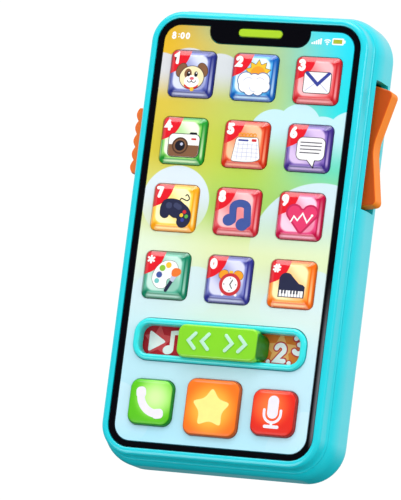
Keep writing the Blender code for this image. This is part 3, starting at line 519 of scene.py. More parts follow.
def make_object(name, mesh, origin, materials, sharp=32.0):
    """Turn a millimetre bmesh into a smooth-shaded object in metres."""
    centre = Vector(origin)
    bmesh.ops.translate(mesh, verts=mesh.verts, vec=-centre)
    bmesh.ops.scale(mesh, verts=mesh.verts, vec=(MM, MM, MM))
    data = bpy.data.meshes.new(name)
    mesh.to_mesh(data)
    mesh.free()
    data.shade_smooth()
    data.set_sharp_from_angle(angle=math.radians(sharp))
    item = add(name, data)
    item.location = centre * MM
    for material in materials:
        data.materials.append(material)
    return item


def apply_modifiers(item):
    """Bake the modifiers into the mesh."""
    bpy.context.view_layer.update()
    evaluated = item.evaluated_get(bpy.context.evaluated_depsgraph_get())
    data = bpy.data.meshes.new_from_object(evaluated)
    item.modifiers.clear()
    item.data = data


def combine(target, shapes, operation="DIFFERENCE"):
    """Apply exact Booleans with some shapes, one after the other."""
    tools = [make_object("tool", mesh, (0, 0, 0), ()) for mesh in shapes]
    for tool in tools:
        modifier = target.modifiers.new(tool.name, "BOOLEAN")
        modifier.operation = operation
        modifier.object = tool
        modifier.solver = "EXACT"
    apply_modifiers(target)
    for tool in tools:
        bpy.data.objects.remove(tool, do_unlink=True)


def bevel(item, width, segments, angle):
    """Rounded edges where faces meet at more than an angle."""
    edges = item.modifiers.new("edges", "BEVEL")
    edges.width = width * MM
    edges.segments = segments
    edges.limit_method = "ANGLE"
    edges.angle_limit = math.radians(angle)


def dress(item, body, material_slot, *nodes, sharp=None):
    """Ride a piece on its body and hide the CAD nodes it stands for.

    With `sharp`, its smooth shading follows the large faces up to that angle.
    """
    if sharp:
        item.data.shade_smooth()
        item.data.set_sharp_from_angle(angle=math.radians(sharp))
        item.modifiers.new("weights", "WEIGHTED_NORMAL").keep_sharp = True
    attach(item, body)
    if nodes:
        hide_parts(*nodes)


# ---------------------------------------------------------------- shells


def front_shell():
    """Front shell: rim bead, front wall, seam edge and the deck behind the screen."""
    stations = []
    for step in range(13):
        angle = math.radians(-45 + 135 * step / 12)
        stations.append((BEAD_DEPTH - BEAD_RADIUS * math.cos(angle),
                         BEAD_OUT + BEAD_RADIUS * math.sin(angle)))
    stations += [(depth, BODY_OUTSET + out) for depth, out in (
        (3.0, -0.1), (4.2, 0.0), (4.6, 0.06), (4.9, 0.2), (5.15, 0.42), (PARTING_FRONT, 0.64))]
    stations += [(PARTING_FRONT, TONGUE_OUT), (TONGUE_BACK, TONGUE_OUT)]
    shell = make_object("front_shell", loft([(depth, body_outline(out)) for depth, out in stations]),
                        at(0, 0, BODY_MID_Z), [TEAL_PLASTIC])
    through = (DECK_FRONT - 1, DECK_BACK + 1)
    windows = bmesh.new()
    for name in WINDOWED:
        place = Place(name)
        size = place.width - 2 * FLANGE + 2 * GAP
        slab(rounded(size, size, 2.3, place.centre, 5), *through, windows)
    ring = Place("slider_surround")
    slot = rounded(ring.width - 1.6, ring.height - 1.6, 4.6, ring.centre)
    combine(shell, [slab(body_outline(RECESS_GAP), -3.0, DECK_FRONT),
                    slab(body_outline(-0.9), DECK_BACK, TONGUE_BACK + 1), windows, slab(slot, *through)])
    dress(shell, "root", "housing_teal", "front_housing", sharp=32.0)


def rear_shell():
    """Rear shell with the battery bay, wells, grille, switch dish and side openings."""
    sections = []
    for step in range(15):
        angle = math.radians(18 + 72 * step / 14)
        share = math.sin(angle)
        sections.append((PARTING_BACK + REAR_FLARE * (1 - math.cos(angle)) - 0.3 * (step == 0),
                         body_outline(BODY_OUTSET + share * (REAR_OUTSET - BODY_OUTSET), share * REAR_DROP)))
    for sine, cosine in quarter(12):
        sections.append((BODY_DEPTH - BACK_ROUND * (1 - sine),
                         body_outline(REAR_OUTSET - BACK_ROUND * (1 - cosine), REAR_DROP)))
    shell = make_object("rear_shell", loft(sections), at(0, BODY_DEPTH, BODY_MID_Z), [TEAL_PLASTIC])
    cavity = ((PARTING_BACK - 1, 0.6), (8.5, 0.6), (10.2, 2.4), (20.5, 2.4), (BACK_INSIDE, 0.4))
    combine(shell, [block((-BEZEL_WIDTH, 0, -5), (BEZEL_WIDTH, BODY_DEPTH + 1, 0)),
                    loft([(depth, body_outline(out)) for depth, out in cavity])])
    low, high = bay_box()
    wall = 1.4
    walls = block([value - wall for value in low], (high[0] + wall, BACK_INSIDE + 0.5, high[2] + wall))
    posts = bmesh.new()
    screws = [(name, 3.7, 12.0) for name in CASE_SCREWS] + [("battery_door_screw", 3.2, 14.0)]
    for name, radius, front in screws:
        slab(circle(Place(name).centre, radius), front, BACK_INSIDE + 0.6, posts)
    x, z = Place("rocker_pin").centre
    for front, back in ((9.6, 10.4), (17.8, 19.0)):
        block((x - 2.2, front, z - 2.6), (x + 3.2, back, z + 2.6), posts)
    combine(shell, [walls, posts], "UNION")
    door = Place("battery_door")
    seat = rounded(door.width + 2 * GAP, door.height + 2 * GAP, 3.3, door.centre)
    combine(shell, [slab(seat, door.front - GAP, BODY_DEPTH + 1), outer_cuts(), inner_cuts(low, high)])
    dress(shell, "root", "housing_teal", "rear_housing", sharp=32.0)


def bay_box():
    """Space of the battery bay, as (x, depth, z) corners."""
    left = Place("battery_cell_left")
    return ((left.low.x - 1.1, left.front - 0.7, Place("battery_plate_contact").low.z - 0.2),
            (Place("battery_cell_right").high.x + 1.1, BODY_DEPTH + 2,
             Place("battery_bridge_contact").high.z + 0.2))


def outer_cuts():
    """Screw wells, grille slots, switch dish and rocker opening."""
    mesh = bmesh.new()
    outside = BODY_DEPTH + 1
    head_bore = 2.6
    rim = 0.25
    for name in CASE_SCREWS:
        place = Place(name)
        seat = place.back - 2.0
        well = ((14.0, SHANK_BORE), (seat, SHANK_BORE), (seat, head_bore), (BODY_DEPTH - rim, head_bore),
                (BODY_DEPTH, head_bore + rim), (outside, head_bore + rim))
        loft([(depth, circle(place.centre, radius)) for depth, radius in well], mesh)
    x, z = Place("speaker").centre
    grille_radius = 10.0
    pitch = 3.6
    slot_width = 1.6
    for row in range(-2, 3):
        length = 2 * math.sqrt(grille_radius ** 2 - (pitch * row) ** 2)
        slot = rounded(length, slot_width, slot_width / 2 - 0.01, (x, z + pitch * row), 6)
        slab(slot, BACK_INSIDE - 0.5, outside, mesh)
    switch = Place("power_switch").centre
    dish = ((BODY_DEPTH - 1.0, 17.6, 6.6), (BODY_DEPTH, 19.0, 8.0), (outside, 19.0, 8.0))
    loft([(depth, rounded(width, height, 2.5, switch)) for depth, width, height in dish], mesh)
    paddle = Place("side_rocker")
    x, z = Place("rocker_pin").centre
    block((x + 1.6, paddle.front - GAP, z - ROCKER_HALF), (x + 9.0, paddle.back + GAP, z + ROCKER_HALF), mesh)
    return mesh


def inner_cuts(bay_low, bay_high):
    """Battery bay, switch slot, the side slide's notch and the slope ahead of the rocker."""
    mesh = bmesh.new()
    block(bay_low, bay_high, mesh)
    slab(circle(Place("battery_door_screw").centre, SHANK_BORE), 16.0, BODY_DEPTH + 1, mesh)
    slab(rounded(11.0, 3.4, 0.8, Place("power_switch").centre), BACK_INSIDE - 0.5, BODY_DEPTH + 2, mesh)
    slide = Place("side_ribbed_slide")
    z = slide.centre[1]
    half = 14.0
    block((-BEYOND_SIDE, PARTING_BACK - 1, z - half), (-35.5, slide.back - 0.5, z + half), mesh)
    pivot = Place("rocker_pin").centre
    slab(circle(pivot, PIN_BORE), 8.0, 18.7, mesh)
    low_z = pivot[1] - ROCKER_HALF
    high_z = pivot[1] + ROCKER_HALF
    loft([(depth, [(x, low_z), (BEYOND_SIDE, low_z), (BEYOND_SIDE, high_z), (x, high_z)])
          for depth, x in ROCKER_RELIEF], mesh)
    return mesh


def screen_sheet():
    """Printed sheet whose windows have softened edges."""
    panel = Place("screen_panel")
    front = panel.front
    back = panel.back
    windows = bmesh.new()
    soft = 0.15
    lips = ((front - 1, soft), (front, soft), (front + soft, 0.0), (back + 1, 0.0))
    for name in WINDOWED:
        place = Place(name)
        size = place.width - 2 * FLANGE + 2 * GAP
        radius = 3.2 if "button" in name else 2.2
        loft([(depth, rounded(size + 2 * lip, size + 2 * lip, radius + lip, place.centre))
              for depth, lip in lips], windows)
    ring = Place("slider_surround")
    opening = rounded(ring.width + 2 * GAP, ring.height + 2 * GAP, RING_RADIUS + GAP, ring.centre, 12)
    slab(opening, front - 1, back + 1, windows)
    notch = rounded(36.0, 20.0, 4.5, (0.0, LIFT + 139.75 + 10.0), 12)
    sheet = make_object("screen_sheet", slab(body_outline((panel.width - BEZEL_WIDTH) / 2), front, back),
                        (0, 0, 0), [screen_print()])
    combine(sheet, [windows, slab(notch, front - 1, back + 1)])
    dress(sheet, "root", "screen_print", "screen_panel", sharp=32.0)


def drive_screw(node, body, tall):
    """Pan-head screw with a cross recess in its head."""
    place = Place(node)
    x, z = place.centre
    tip = place.front
    top = place.back
    shank = 1.2
    head = 2.3
    profile = ((tip, 0.1), (tip + 1.0, shank), (top - tall, shank), (top - tall, head),
               (top - 0.45 * tall, head), (top - 0.18 * tall, 2.0), (top, 1.5))
    mesh = loft([(depth, circle((x, z), radius, 28)) for depth, radius in profile])
    item = make_object(node + "_cross", mesh, at(x, top, z), [SCREW_STEEL])
    for half_x, half_z in ((1.25, 0.28), (0.28, 1.25)):
        combine(item, [block((x - half_x, top - 0.5, z - half_z), (x + half_x, top + 1, z + half_z))])
    dress(item, body, "screw_steel", node, sharp=32.0)


# ---------------------------------------------------------------- moving pieces


def cap(name, body, node, material, stations, steps, sharp=32.0):
    """Square cap of a key or button through (depth, side, corner radius) stations."""
    place = Place(node)
    mesh = loft([(depth, rounded(side, side, radius, place.centre, steps))
                 for depth, side, radius in stations])
    item = make_object(name, mesh, place.origin, [material], sharp)
    dress(item, body, SLOTS[node], node)
    return place


def key_cap(key, material):
    """Picture key with a softly crowned top and wide sloping edges."""
    node = "app_key_" + key
    place = Place(node)
    side = place.width - 2 * FLANGE + 2 * (GAP - CAP_GAP)
    corner = 2.1
    crown = ((0.0, 11.5, 1.0), (0.02, 11.9, 1.1), (0.07, 12.3, 1.2), (0.17, 12.7, 1.3), (0.46, 13.7, 1.5),
             (0.8, 14.8, 1.8), (1.0, 15.4, 1.95), (1.2, side - 0.14, 2.05), (1.5, side, corner))
    stations = [(place.front + depth, wide, radius) for depth, wide, radius in crown]
    foot = place.back - FOOT_DEPTH
    stations += [(foot, side, corner), (foot, place.width, corner), (place.back, place.width, corner)]
    return cap("key_" + key + "_cap", "key_" + key, node, material, stations, 10, 24.0)


def push_button(node, body, material):
    """Lower button with a rounded edge and a slightly crowned face."""
    place = Place(node)
    front = place.front
    size = place.width - 2 * FLANGE + 2 * (GAP - CAP_GAP)
    foot = place.back - FOOT_DEPTH
    foot_size = size + 2 * FLANGE
    corner = 3.2
    edge = 1.2
    stations = [(front, size - 6.0, 1.6), (front + 0.04, size - 4.0, 2.2), (front + 0.12, size - 2.8, 2.4)]
    for sine, cosine in quarter(7, 1):
        inset = edge * (1 - sine)
        stations.append((front + 0.12 + edge * (1 - cosine), size - 2 * inset, corner - inset * 0.6))
    stations += [(foot, size, corner), (foot, foot_size, corner), (place.back, foot_size, corner)]
    return cap(node + "_cap", body, node, material, stations, 8)


def surround():
    """Raised round-edged ring of the slider."""
    place = Place("slider_surround")
    front = place.front
    width = 2.0
    crest = 0.9

    def outline(inset):
        return rounded(place.width - 2 * inset, place.height - 2 * inset, RING_RADIUS - inset,
                       place.centre, 10)

    outer = []
    inner = [(front - 1, outline(width - crest))]
    for sine, cosine in quarter(6):
        fall = crest * (1 - cosine)
        inset = crest * (1 - sine)
        outer.append((front + fall, outline(inset)))
        inner.append((front - 0.02 + fall, outline(width - inset)))
    outer += [(1.5, outline(0)), (1.5, outline(1.1)), (DECK_BACK, outline(1.1))]
    inner.append((DECK_BACK + 1, outline(width)))
    ring = make_object("slider_ring", loft(outer), place.origin,
                       [gloss_plastic("surround_aqua", linear(40, 224, 226), 0.3, 0.25)])
    combine(ring, [loft(inner)])
    dress(ring, "root", "housing_teal", "slider_surround", sharp=32.0)


def knob():
    """Slider knob with its raised chevrons."""
    place = Place("slider_knob")
    x, z = place.centre
    front = place.front
    width = place.width - 3.0
    height = place.height
    waist = 9.4
    edge = 0.75
    stations = []
    for sine, cosine in quarter(6):
        inset = edge * (1 - sine)
        stations.append((front + edge * (1 - cosine), width - 2 * inset, height - 2 * inset, 2.6 - inset))
    stations += [(-1.5, width + 0.8, height, 2.4), (-1.5, width + 0.2, waist, 2.2),
                 (DECK_BACK, place.width, waist, 3.2)]
    mesh = loft([(depth, rounded(wide, tall, radius, (x, z))) for depth, wide, tall, radius in stations])
    block((x - 2.0, DECK_BACK, z - 0.9), (x + 2.0, place.back, z + 0.9), mesh)
    grip = make_object("slider_cap", mesh, place.origin, [knob_plastic(width / 2)])
    dress(grip, "slider", "knob_green", "slider_knob")
    marks = bmesh.new()
    line = 1.15
    rise = 2.5
    for centre_x, side in ((-8.9, -1), (-4.2, -1), (4.2, 1), (8.9, 1)):
        inner = x + centre_x - side * line
        tip = (inner + side * 2 * line, z)
        shape = anticlockwise(stroke([(inner, z + rise), tip, (inner, z - rise)], line))
        loft(((front - 0.38, shrink(shape, 0.18)), (front - 0.3, shape), (front + 0.1, shape)), marks)
    chevrons = make_object("slider_chevrons", marks, place.origin,
                           [gloss_plastic("chevron_mint", linear(186, 232, 206), 0.35, 0.2)])
    dress(chevrons, "slider", "knob_green")


def rocker():
    """Side rocker: a shallow V with round tips."""
    place = Place("side_rocker")
    pivot = Place("rocker_pin").centre
    slope = math.radians(12.1)
    tilt = math.radians(2.2)
    valley = 4.7
    bend = 3.4
    tip_radius = 1.7
    inside = 0.6
    along_tip = 19.5 - tip_radius
    out_tip = valley + math.tan(slope) * along_tip - tip_radius / math.cos(slope)

    def wing(side):
        points = []
        for step in range(5):
            along = bend * step / 4
            points.append((valley + 0.36 + math.tan(slope) * along * along / (2 * bend), along))
        for step in range(9):
            angle = math.radians(90 * step / 8) - slope
            points.append((out_tip + tip_radius * math.cos(angle), along_tip + tip_radius * math.sin(angle)))
        tip_out, tip_along = points[-1]
        points.append((inside, tip_along + (tip_out - inside) * math.tan(slope)))
        points += [(inside, 4.4), (-2.0, 2.2)]
        return [(out, side * along) for out, along in points]

    turned = [(pivot[0] + out * math.cos(tilt) + along * math.sin(tilt),
               pivot[1] + along * math.cos(tilt) - out * math.sin(tilt))
              for out, along in list(reversed(wing(-1)[1:])) + wing(1)]
    paddle = make_object("rocker_paddle", slab(turned, place.front, place.back), at(pivot[0], 0, pivot[1]),
                         [rocker_plastic()])
    bevel(paddle, 0.55, 4, 55)
    apply_modifiers(paddle)
    combine(paddle, [slab(circle(pivot, PIN_BORE, 16), place.front - 1, place.back + 1)])
    dress(paddle, "rocker", "side_orange", "side_rocker", sharp=40.0)


def side_slide():
    """Ribbed finger piece on the left side."""
    place = Place("side_ribbed_slide")
    low = place.low
    length = 22.4
    bottom = place.centre[1] - length / 2
    inside = -35.7
    ribs = 5
    pitch = length / ribs
    scallop = 0.9
    edge = []
    for step in range(ribs * 10 + 1):
        along = pitch * step / 10
        edge.append((low.x + scallop * (1 - abs(math.sin(math.pi * along / pitch))), bottom + along))
    outline = list(reversed(edge)) + [(inside, bottom), (inside, bottom + length)]
    grip = make_object("side_slide_grip", slab(outline, *SLIDE_DEPTHS),
                       at(low.x, SLIDE_DEPTHS[0], place.centre[1]),
                       [gloss_plastic("side_orange", linear(240, 108, 0), 0.45, 0.0)])
    bevel(grip, 0.4, 3, 70)
    foot = block((inside - 0.6, place.front, low.z), (inside + 0.5, place.back, place.high.z))
    combine(grip, [foot], "UNION")
    dress(grip, "side_slide", "side_orange", "side_ribbed_slide", sharp=40.0)


# ---------------------------------------------------------------- flat printed shapes


def arc(x, z, radius_x, radius_z, start, end, steps=12):
    """Points along an elliptical arc, degrees anticlockwise from +X."""
    angles = [math.radians(start + (end - start) * step / steps) for step in range(steps + 1)]
    return [(x + radius_x * math.cos(angle), z + radius_z * math.sin(angle)) for angle in angles]


def oval(x, z, radius_x, radius_z=None, turn=0.0, steps=28):
    """Closed ellipse, turned by some degrees."""
    points = arc(0, 0, radius_x, radius_x if radius_z is None else radius_z, 0, 360, steps)[:-1]
    return moved(points, x, z, turn)


def moved(points, x, z, turn=0.0):
    """Points turned about the origin and then shifted."""
    cosine = math.cos(math.radians(turn))
    sine = math.sin(math.radians(turn))
    return [(x + px * cosine - pz * sine, z + px * sine + pz * cosine) for px, pz in points]


def smooth(points, steps=5):
    """Closed curve through control points (Catmull-Rom)."""
    result = []
    count = len(points)
    for index in range(count):
        before, here, after, beyond = (points[(index + shift) % count] for shift in (-1, 0, 1, 2))
        for step in range(steps):
            t = step / steps
            result.append(tuple(0.5 * (2 * b + (c - a) * t + (2 * a - 5 * b + 4 * c - d) * t * t
                                       + (3 * b - a - 3 * c + d) * t ** 3)
                                for a, b, c, d in zip(before, here, after, beyond)))
    return result


def normals_of(points, closed):
    """Left-hand unit normals at the points, and how far a mitre stretches them."""
    found = []
    count = len(points)
    for index in range(count):
        before = points[(index - 1) % count] if closed or index else points[index]
        after = points[(index + 1) % count] if closed or index < count - 1 else points[index]
        here = points[index]
        first = Vector((here[0] - before[0], here[1] - before[1]))
        second = Vector((after[0] - here[0], after[1] - here[1]))
        first = first.normalized() if first.length > 1e-9 else second.normalized()
        second = second.normalized() if second.length > 1e-9 else first
        along = (first + second).normalized() if (first + second).length > 1e-6 else first
        stretch = 1 / max(0.5, along.dot(first))
        found.append((-along.y * stretch, along.x * stretch))
    return found


def stroke(points, width):
    """Outline of an open line with round ends."""
    half = width / 2
    sides = normals_of(points, False)
    left = [(x + half * nx, z + half * nz) for (x, z), (nx, nz) in zip(points, sides)]
    right = [(x - half * nx, z - half * nz) for (x, z), (nx, nz) in zip(points, sides)]

    def cap(centre, start):
        angles = [start - math.pi * step / 6 for step in range(1, 6)]
        return [(centre[0] + half * math.cos(angle), centre[1] + half * math.sin(angle)) for angle in angles]
    end_angle = math.atan2(sides[-1][1], sides[-1][0])
    start_angle = math.atan2(-sides[0][1], -sides[0][0])
    return left + cap(points[-1], end_angle) + list(reversed(right)) + cap(points[0], start_angle)


def shrink(points, amount):
    """Outline moved inward (anticlockwise outlines) or outward with a negative amount."""
    points = anticlockwise(points)
    return [(x + amount * nx, z + amount * nz) for (x, z), (nx, nz) in zip(points, normals_of(points, True))]


def area(points):
    """Signed area, positive when anticlockwise."""
    pairs = zip(points, points[1:] + points[:1])
    return sum(x1 * z2 - x2 * z1 for (x1, z1), (x2, z2) in pairs) / 2


def star(x, z, outer, inner, points=5, turn=90.0):
    """Star outline."""
    result = []
    for index in range(2 * points):
        radius = inner if index % 2 else outer
        angle = math.radians(turn + 180 * index / points)
        result.append((x + radius * math.cos(angle), z + radius * math.sin(angle)))
    return result


def blunt(points, reach, steps=4):
    """Closed outline with rounded corners that start `reach` away from each corner."""
    result = []
    for before, here, after in zip(points[-1:] + points[:-1], points, points[1:] + points[:1]):
        corner = Vector(here)
        ends = []
        for other in (before, after):
            edge = Vector(other) - corner
            ends.append(corner + edge * min(0.49, reach / edge.length))
        for step in range(steps + 1):
            t = step / steps
            point = ends[0] * (1 - t) ** 2 + corner * 2 * t * (1 - t) + ends[1] * t * t
            result.append((point.x, point.y))
    return result


def anticlockwise(points):
    """The outline in anticlockwise order."""
    return points if area(points) > 0 else list(reversed(points))


LAYER = 0.022
PRINT_BACK = 0.15


class Print:
    """A stack of thin printed shapes on a face, each layer a little prouder."""

    def __init__(self, name, depth, centre):
        self.scale = 1.0
        self.name = name
        self.depth = depth
        self.centre = centre
        self.mesh = bmesh.new()
        self.inks = []

    def index_of(self, ink_name):
        """Material index of an ink, which is added when it is new."""
        if ink_name not in self.inks:
            self.inks.append(ink_name)
        return self.inks.index(ink_name)

    def placed(self, points):
        """The points scaled and moved to the print's centre."""
        return [(x * self.scale + self.centre[0], z * self.scale + self.centre[1]) for x, z in points]

    def add(self, ink_name, *outlines, layer=0):
        """Add outlines given around the print's centre, in one ink."""
        for count, outline in enumerate(outlines):
            shifted = self.placed(anticlockwise(outline))
            top = self.depth - LAYER * (layer + 1) - 0.003 * count
            loft(((top, shifted), (self.depth + PRINT_BACK, shifted)), self.mesh, self.index_of(ink_name))

    def ring(self, ink_name, outline, width, layer=0):
        """Add a closed line of some width along an outline."""
        top = self.depth - LAYER * (layer + 1)
        back = self.depth + PRINT_BACK
        half = width / 2
        loops = [(depth, self.placed(shrink(outline, shift)))
                 for shift, depth in ((-half, top), (-half, back), (half, back), (half, top))]
        loft(loops, self.mesh, self.index_of(ink_name), looped=True)

    def finish(self, body, material_slot):
        """Make the object and ride it on its body."""
        materials = [INKS[name] for name in self.inks]
        item = make_object(self.name, self.mesh, at(self.centre[0], self.depth, self.centre[1]), materials)
        dress(item, body, material_slot)


def star_glyph():
    """Three short lines crossing in one point."""
    angles = [math.radians(turn) for turn in (30, 90, 150)]
    return [("thin", [(0.5 + 0.5 * math.cos(a), 0.8 + 0.5 * math.sin(a)),
                      (0.5 - 0.5 * math.cos(a), 0.8 - 0.5 * math.sin(a))]) for a in angles]


GLYPHS = {
    "0": [("ring", oval(0.5, 0.8, 0.32, 0.56))],
    "1": [("line", [(0.24, 1.2), (0.56, 1.42), (0.56, 0.16)])],
    "2": [("line", arc(0.5, 1.08, 0.32, 0.34, 165, -35)), ("line", [(0.76, 0.9), (0.2, 0.22), (0.84, 0.22)])],
    "3": [("line", arc(0.46, 1.12, 0.3, 0.3, 150, -85)), ("line", arc(0.46, 0.48, 0.36, 0.34, 85, -150))],
    "4": [("line", [(0.58, 1.42), (0.14, 0.6), (0.92, 0.6)]), ("line", [(0.66, 0.16), (0.66, 1.0)])],
    "5": [("line", [(0.8, 1.42), (0.3, 1.42), (0.28, 0.92)]),
          ("line", arc(0.46, 0.52, 0.34, 0.36, 115, -145))],
    "6": [("ring", oval(0.5, 0.48, 0.31, 0.33)), ("line", [(0.66, 1.44), (0.36, 1.1), (0.2, 0.6)])],
    "7": [("line", [(0.18, 1.42), (0.8, 1.42)]), ("line", [(0.78, 1.38), (0.42, 0.16)])],
    "8": [("ring", oval(0.5, 1.14, 0.25, 0.27)), ("ring", oval(0.5, 0.48, 0.32, 0.34))],
    "9": [("ring", oval(0.5, 1.1, 0.3, 0.33)), ("line", [(0.8, 1.0), (0.72, 0.6), (0.4, 0.16)])],
    ":": [("dot", oval(0.5, 1.1, 0.14)), ("dot", oval(0.5, 0.5, 0.14))],
    "star": star_glyph(),
    "hash": [("thin", [(0.32, 0.3), (0.42, 1.3)]), ("thin", [(0.68, 0.3), (0.78, 1.3)]),
             ("thin", [(0.1, 1.02), (1.02, 1.02)]), ("thin", [(0.06, 0.58), (0.98, 0.58)])],
}


def write(prints, glyph, x, z, height, width, ink_name="white", layer=0):
    """Draw one generic numeral or sign with round strokes, its lower left corner at (x, z)."""
    size = height / 1.6
    for count, (kind, points) in enumerate(GLYPHS[glyph]):
        shape = [(x + px * size, z + pz * size) for px, pz in points]
        level = layer + 0.2 * count
        if kind in ("line", "thin"):
            prints.add(ink_name, stroke(shape, width if kind == "line" else 0.6 * width), layer=level)
        elif kind == "ring":
            prints.ring(ink_name, shape, width, layer=level)
        else:
            prints.add(ink_name, shape, layer=layer)


def outlined(prints, ink_name, outline, border=0.2, layer=0, edge="dark"):
    """A shape with a thin dark line round it."""
    prints.add(edge, shrink(outline, -border), layer=layer)
    prints.add(ink_name, outline, layer=layer + 1)


def dog_icon(p):
    for x, z, side in ((-3.3, 0.9, -1), (4.0, 1.3, 1)):
        outlined(p, "brown", oval(x, z, 1.7, 2.4, side * 24), 0.15)
    outlined(p, "cream", oval(0.5, -1.4, 4.2, 3.8), 0.2, 2)
    p.add("brown", oval(-0.9, -0.2, 1.3, 1.7), layer=3.2)
    p.add("white", oval(0.6, -2.6, 2.6, 2.0), layer=3.4)
    for side in (-1, 1):
        p.add("dark", oval(0.6 + side * 1.3, -0.2, 0.62, 0.9), layer=4)
        p.add("white", oval(0.75 + side * 1.3, 0.15, 0.24), layer=5)
    p.add("pink", oval(0.6, -1.7, 0.75, 0.5), layer=5)
    p.add("dark", stroke(arc(-0.15, -2.3, 0.75, 0.7, 190, 350, 8), 0.24),
          stroke(arc(1.35, -2.3, 0.75, 0.7, 190, 350, 8), 0.24), layer=4.5)
    p.add("red", stroke(arc(0.6, -2.1, 3.0, 3.0, 222, 318, 10), 0.6), layer=4)
    p.add("gold", oval(1.0, -5.3, 0.7), layer=5)


def weather_icon(p):
    outlined(p, "gold", star(1.5, 1.1, 4.6, 3.1, 10), 0.16)
    p.add("amber", oval(1.5, 1.0, 2.6), layer=1.6)
    lobes = ((-2.5, -1.3, 2.6), (0.6, -1.7, 2.6), (3.5, -1.2, 2.5), (-2.6, -3.3, 2.0), (4.4, -3.2, 1.9),
             (-0.7, -4.4, 1.9), (2.3, -4.4, 1.8), (0.9, -2.8, 2.4))
    for x, z, radius in lobes:
        p.add("line_blue", oval(x, z, radius + 0.3), layer=3)
    for count, (x, z, radius) in enumerate(lobes):
        p.add("white", oval(x, z, radius), layer=4 + 0.1 * count)
    for x, z, radius, start in ((-1.4, -2.4, 2.0, 60), (2.6, -2.2, 1.9, 40), (0.9, -3.4, 1.7, 190)):
        p.add("lilac", stroke(arc(x, z, radius, radius, start, start + 90, 8), 0.22), layer=5.5)


def mail_icon(p):
    outlined(p, "white", rounded(9.6, 7.2, 0.9, (0.5, -0.9), 5), 0.25)
    p.add("lilac", stroke([(-3.6, -3.9), (-0.4, -1.3)], 0.3), stroke([(4.6, -3.9), (1.7, -1.3)], 0.3),
          layer=2)
    p.add("navy_blue", stroke([(-3.4, 2.3), (0.7, -1.5), (4.5, 2.4)], 1.15), layer=3)


def camera_icon(p):
    p.add("dark", rounded(2.6, 1.4, 0.5, (3.6, 2.0), 4), layer=0)
    outlined(p, "white", rounded(10.3, 7.3, 1.5, (0.7, -1.7), 5), 0.22)
    p.add("brown", rounded(10.2, 3.6, 1.4, (0.7, -3.5), 5), rounded(10.2, 1.8, 0.05, (0.7, -2.4), 2), layer=2)
    for count, (ink_name, radius) in enumerate((("dark_brown", 2.7), ("brown", 2.2), ("dark", 1.7))):
        p.add(ink_name, oval(-0.5, -1.8, radius), layer=4 + count)
    p.add("lilac", oval(0.0, -1.3, 0.5), layer=7)
    p.add("red", rounded(1.7, 0.6, 0.2, (3.9, 0.5), 3), layer=2)


def calendar_icon(p):
    page = blunt([(-2.8, 1.9), (4.2, 2.1), (5.5, -4.6), (3.6, -5.4), (0.4, -5.6), (-3.8, -5.5)], 0.8)
    outlined(p, "white", page, 0.15)
    for row in range(4):
        z = -0.2 - 1.25 * row
        p.add("lilac", stroke([(-2.8 - 0.12 * row, z), (4.4 + 0.14 * row, z)], 0.16), layer=2)
    for column in range(5):
        x = -1.9 + 1.45 * column
        p.add("lilac", stroke([(x, 0.4), (x * 1.12, -5.0)], 0.16), layer=3)
    p.add("navy_blue", stroke([(-1.9, 1.1), (0.9, 1.1)], 0.55), layer=2)
    p.add("red", rounded(1.6, 0.8, 0.2, (3.0, 1.2), 3), layer=2)
    for column in range(5):
        p.ring("amber", oval(-1.6 + 1.15 * column, 2.8, 0.5, steps=14), 0.3, layer=3)


def chat_icon(p):
    bubble = rounded(9.2, 7.1, 1.8, (1.1, -0.35), 6)
    tail = [(-0.2, -3.4), (2.8, -3.4), (2.3, -6.0)]
    p.add("dark", shrink(bubble, -0.22), shrink(tail, -0.3))
    p.add("white", bubble, layer=1)
    p.add("white", tail, layer=1.2)
    for row in range(4):
        z = 1.65 - 1.1 * row
        p.add("grey", stroke([(-2.4, z), (4.5 - 0.5 * (row == 3), z)], 0.34), layer=2)


def gamepad_icon(p):
    body = smooth([(-3.1, 2.2), (-1.0, 2.7), (1.6, 2.3), (3.4, 1.2), (5.0, 0.0), (6.0, -1.9), (5.8, -4.5),
                   (4.5, -6.0), (2.8, -6.2), (1.7, -5.0), (1.6, -3.5), (0.2, -3.2), (-1.2, -2.4), (-1.7, -3.2),
                   (-2.8, -3.6), (-4.1, -2.8), (-4.4, -0.8), (-4.0, 1.0)])
    outlined(p, "navy", body, 0.12, layer=1)
    cord = smooth([(1.9, 2.0), (2.3, 3.0), (3.3, 2.7), (4.4, 2.4), (5.0, 3.2), (4.2, 4.3), (3.5, 3.7)])[:-5]
    p.add("dark", stroke(cord, 0.38))
    p.add("slate", moved(rounded(3.0, 1.7, 0.8, (0, 0), 4), 1.4, 0.4, -26), oval(-1.6, 0.5, 1.05), layer=3)
    buttons = (("red", 3.9, -1.3), ("gold", 3.0, -2.4), ("green", 4.7, -2.7), ("navy_blue", 3.5, -3.9))
    for ink_name, x, z in buttons:
        p.add(ink_name, oval(x, z, 0.62), layer=3)


def music_icon(p):
    beam = [(-0.8, -2.8), (-1.1, 1.2)] + arc(1.3, 1.2, 2.4, 1.45, 180, 0, 12)[1:] + [(4.2, -3.7)]
    p.add("note_blue", stroke(beam, 2.4), layer=0)
    p.add("note_blue", oval(-2.0, -2.8, 2.1, 1.9, 15), layer=1)
    p.add("note_blue", oval(2.6, -4.0, 2.2, 2.0, 15), layer=1.5)


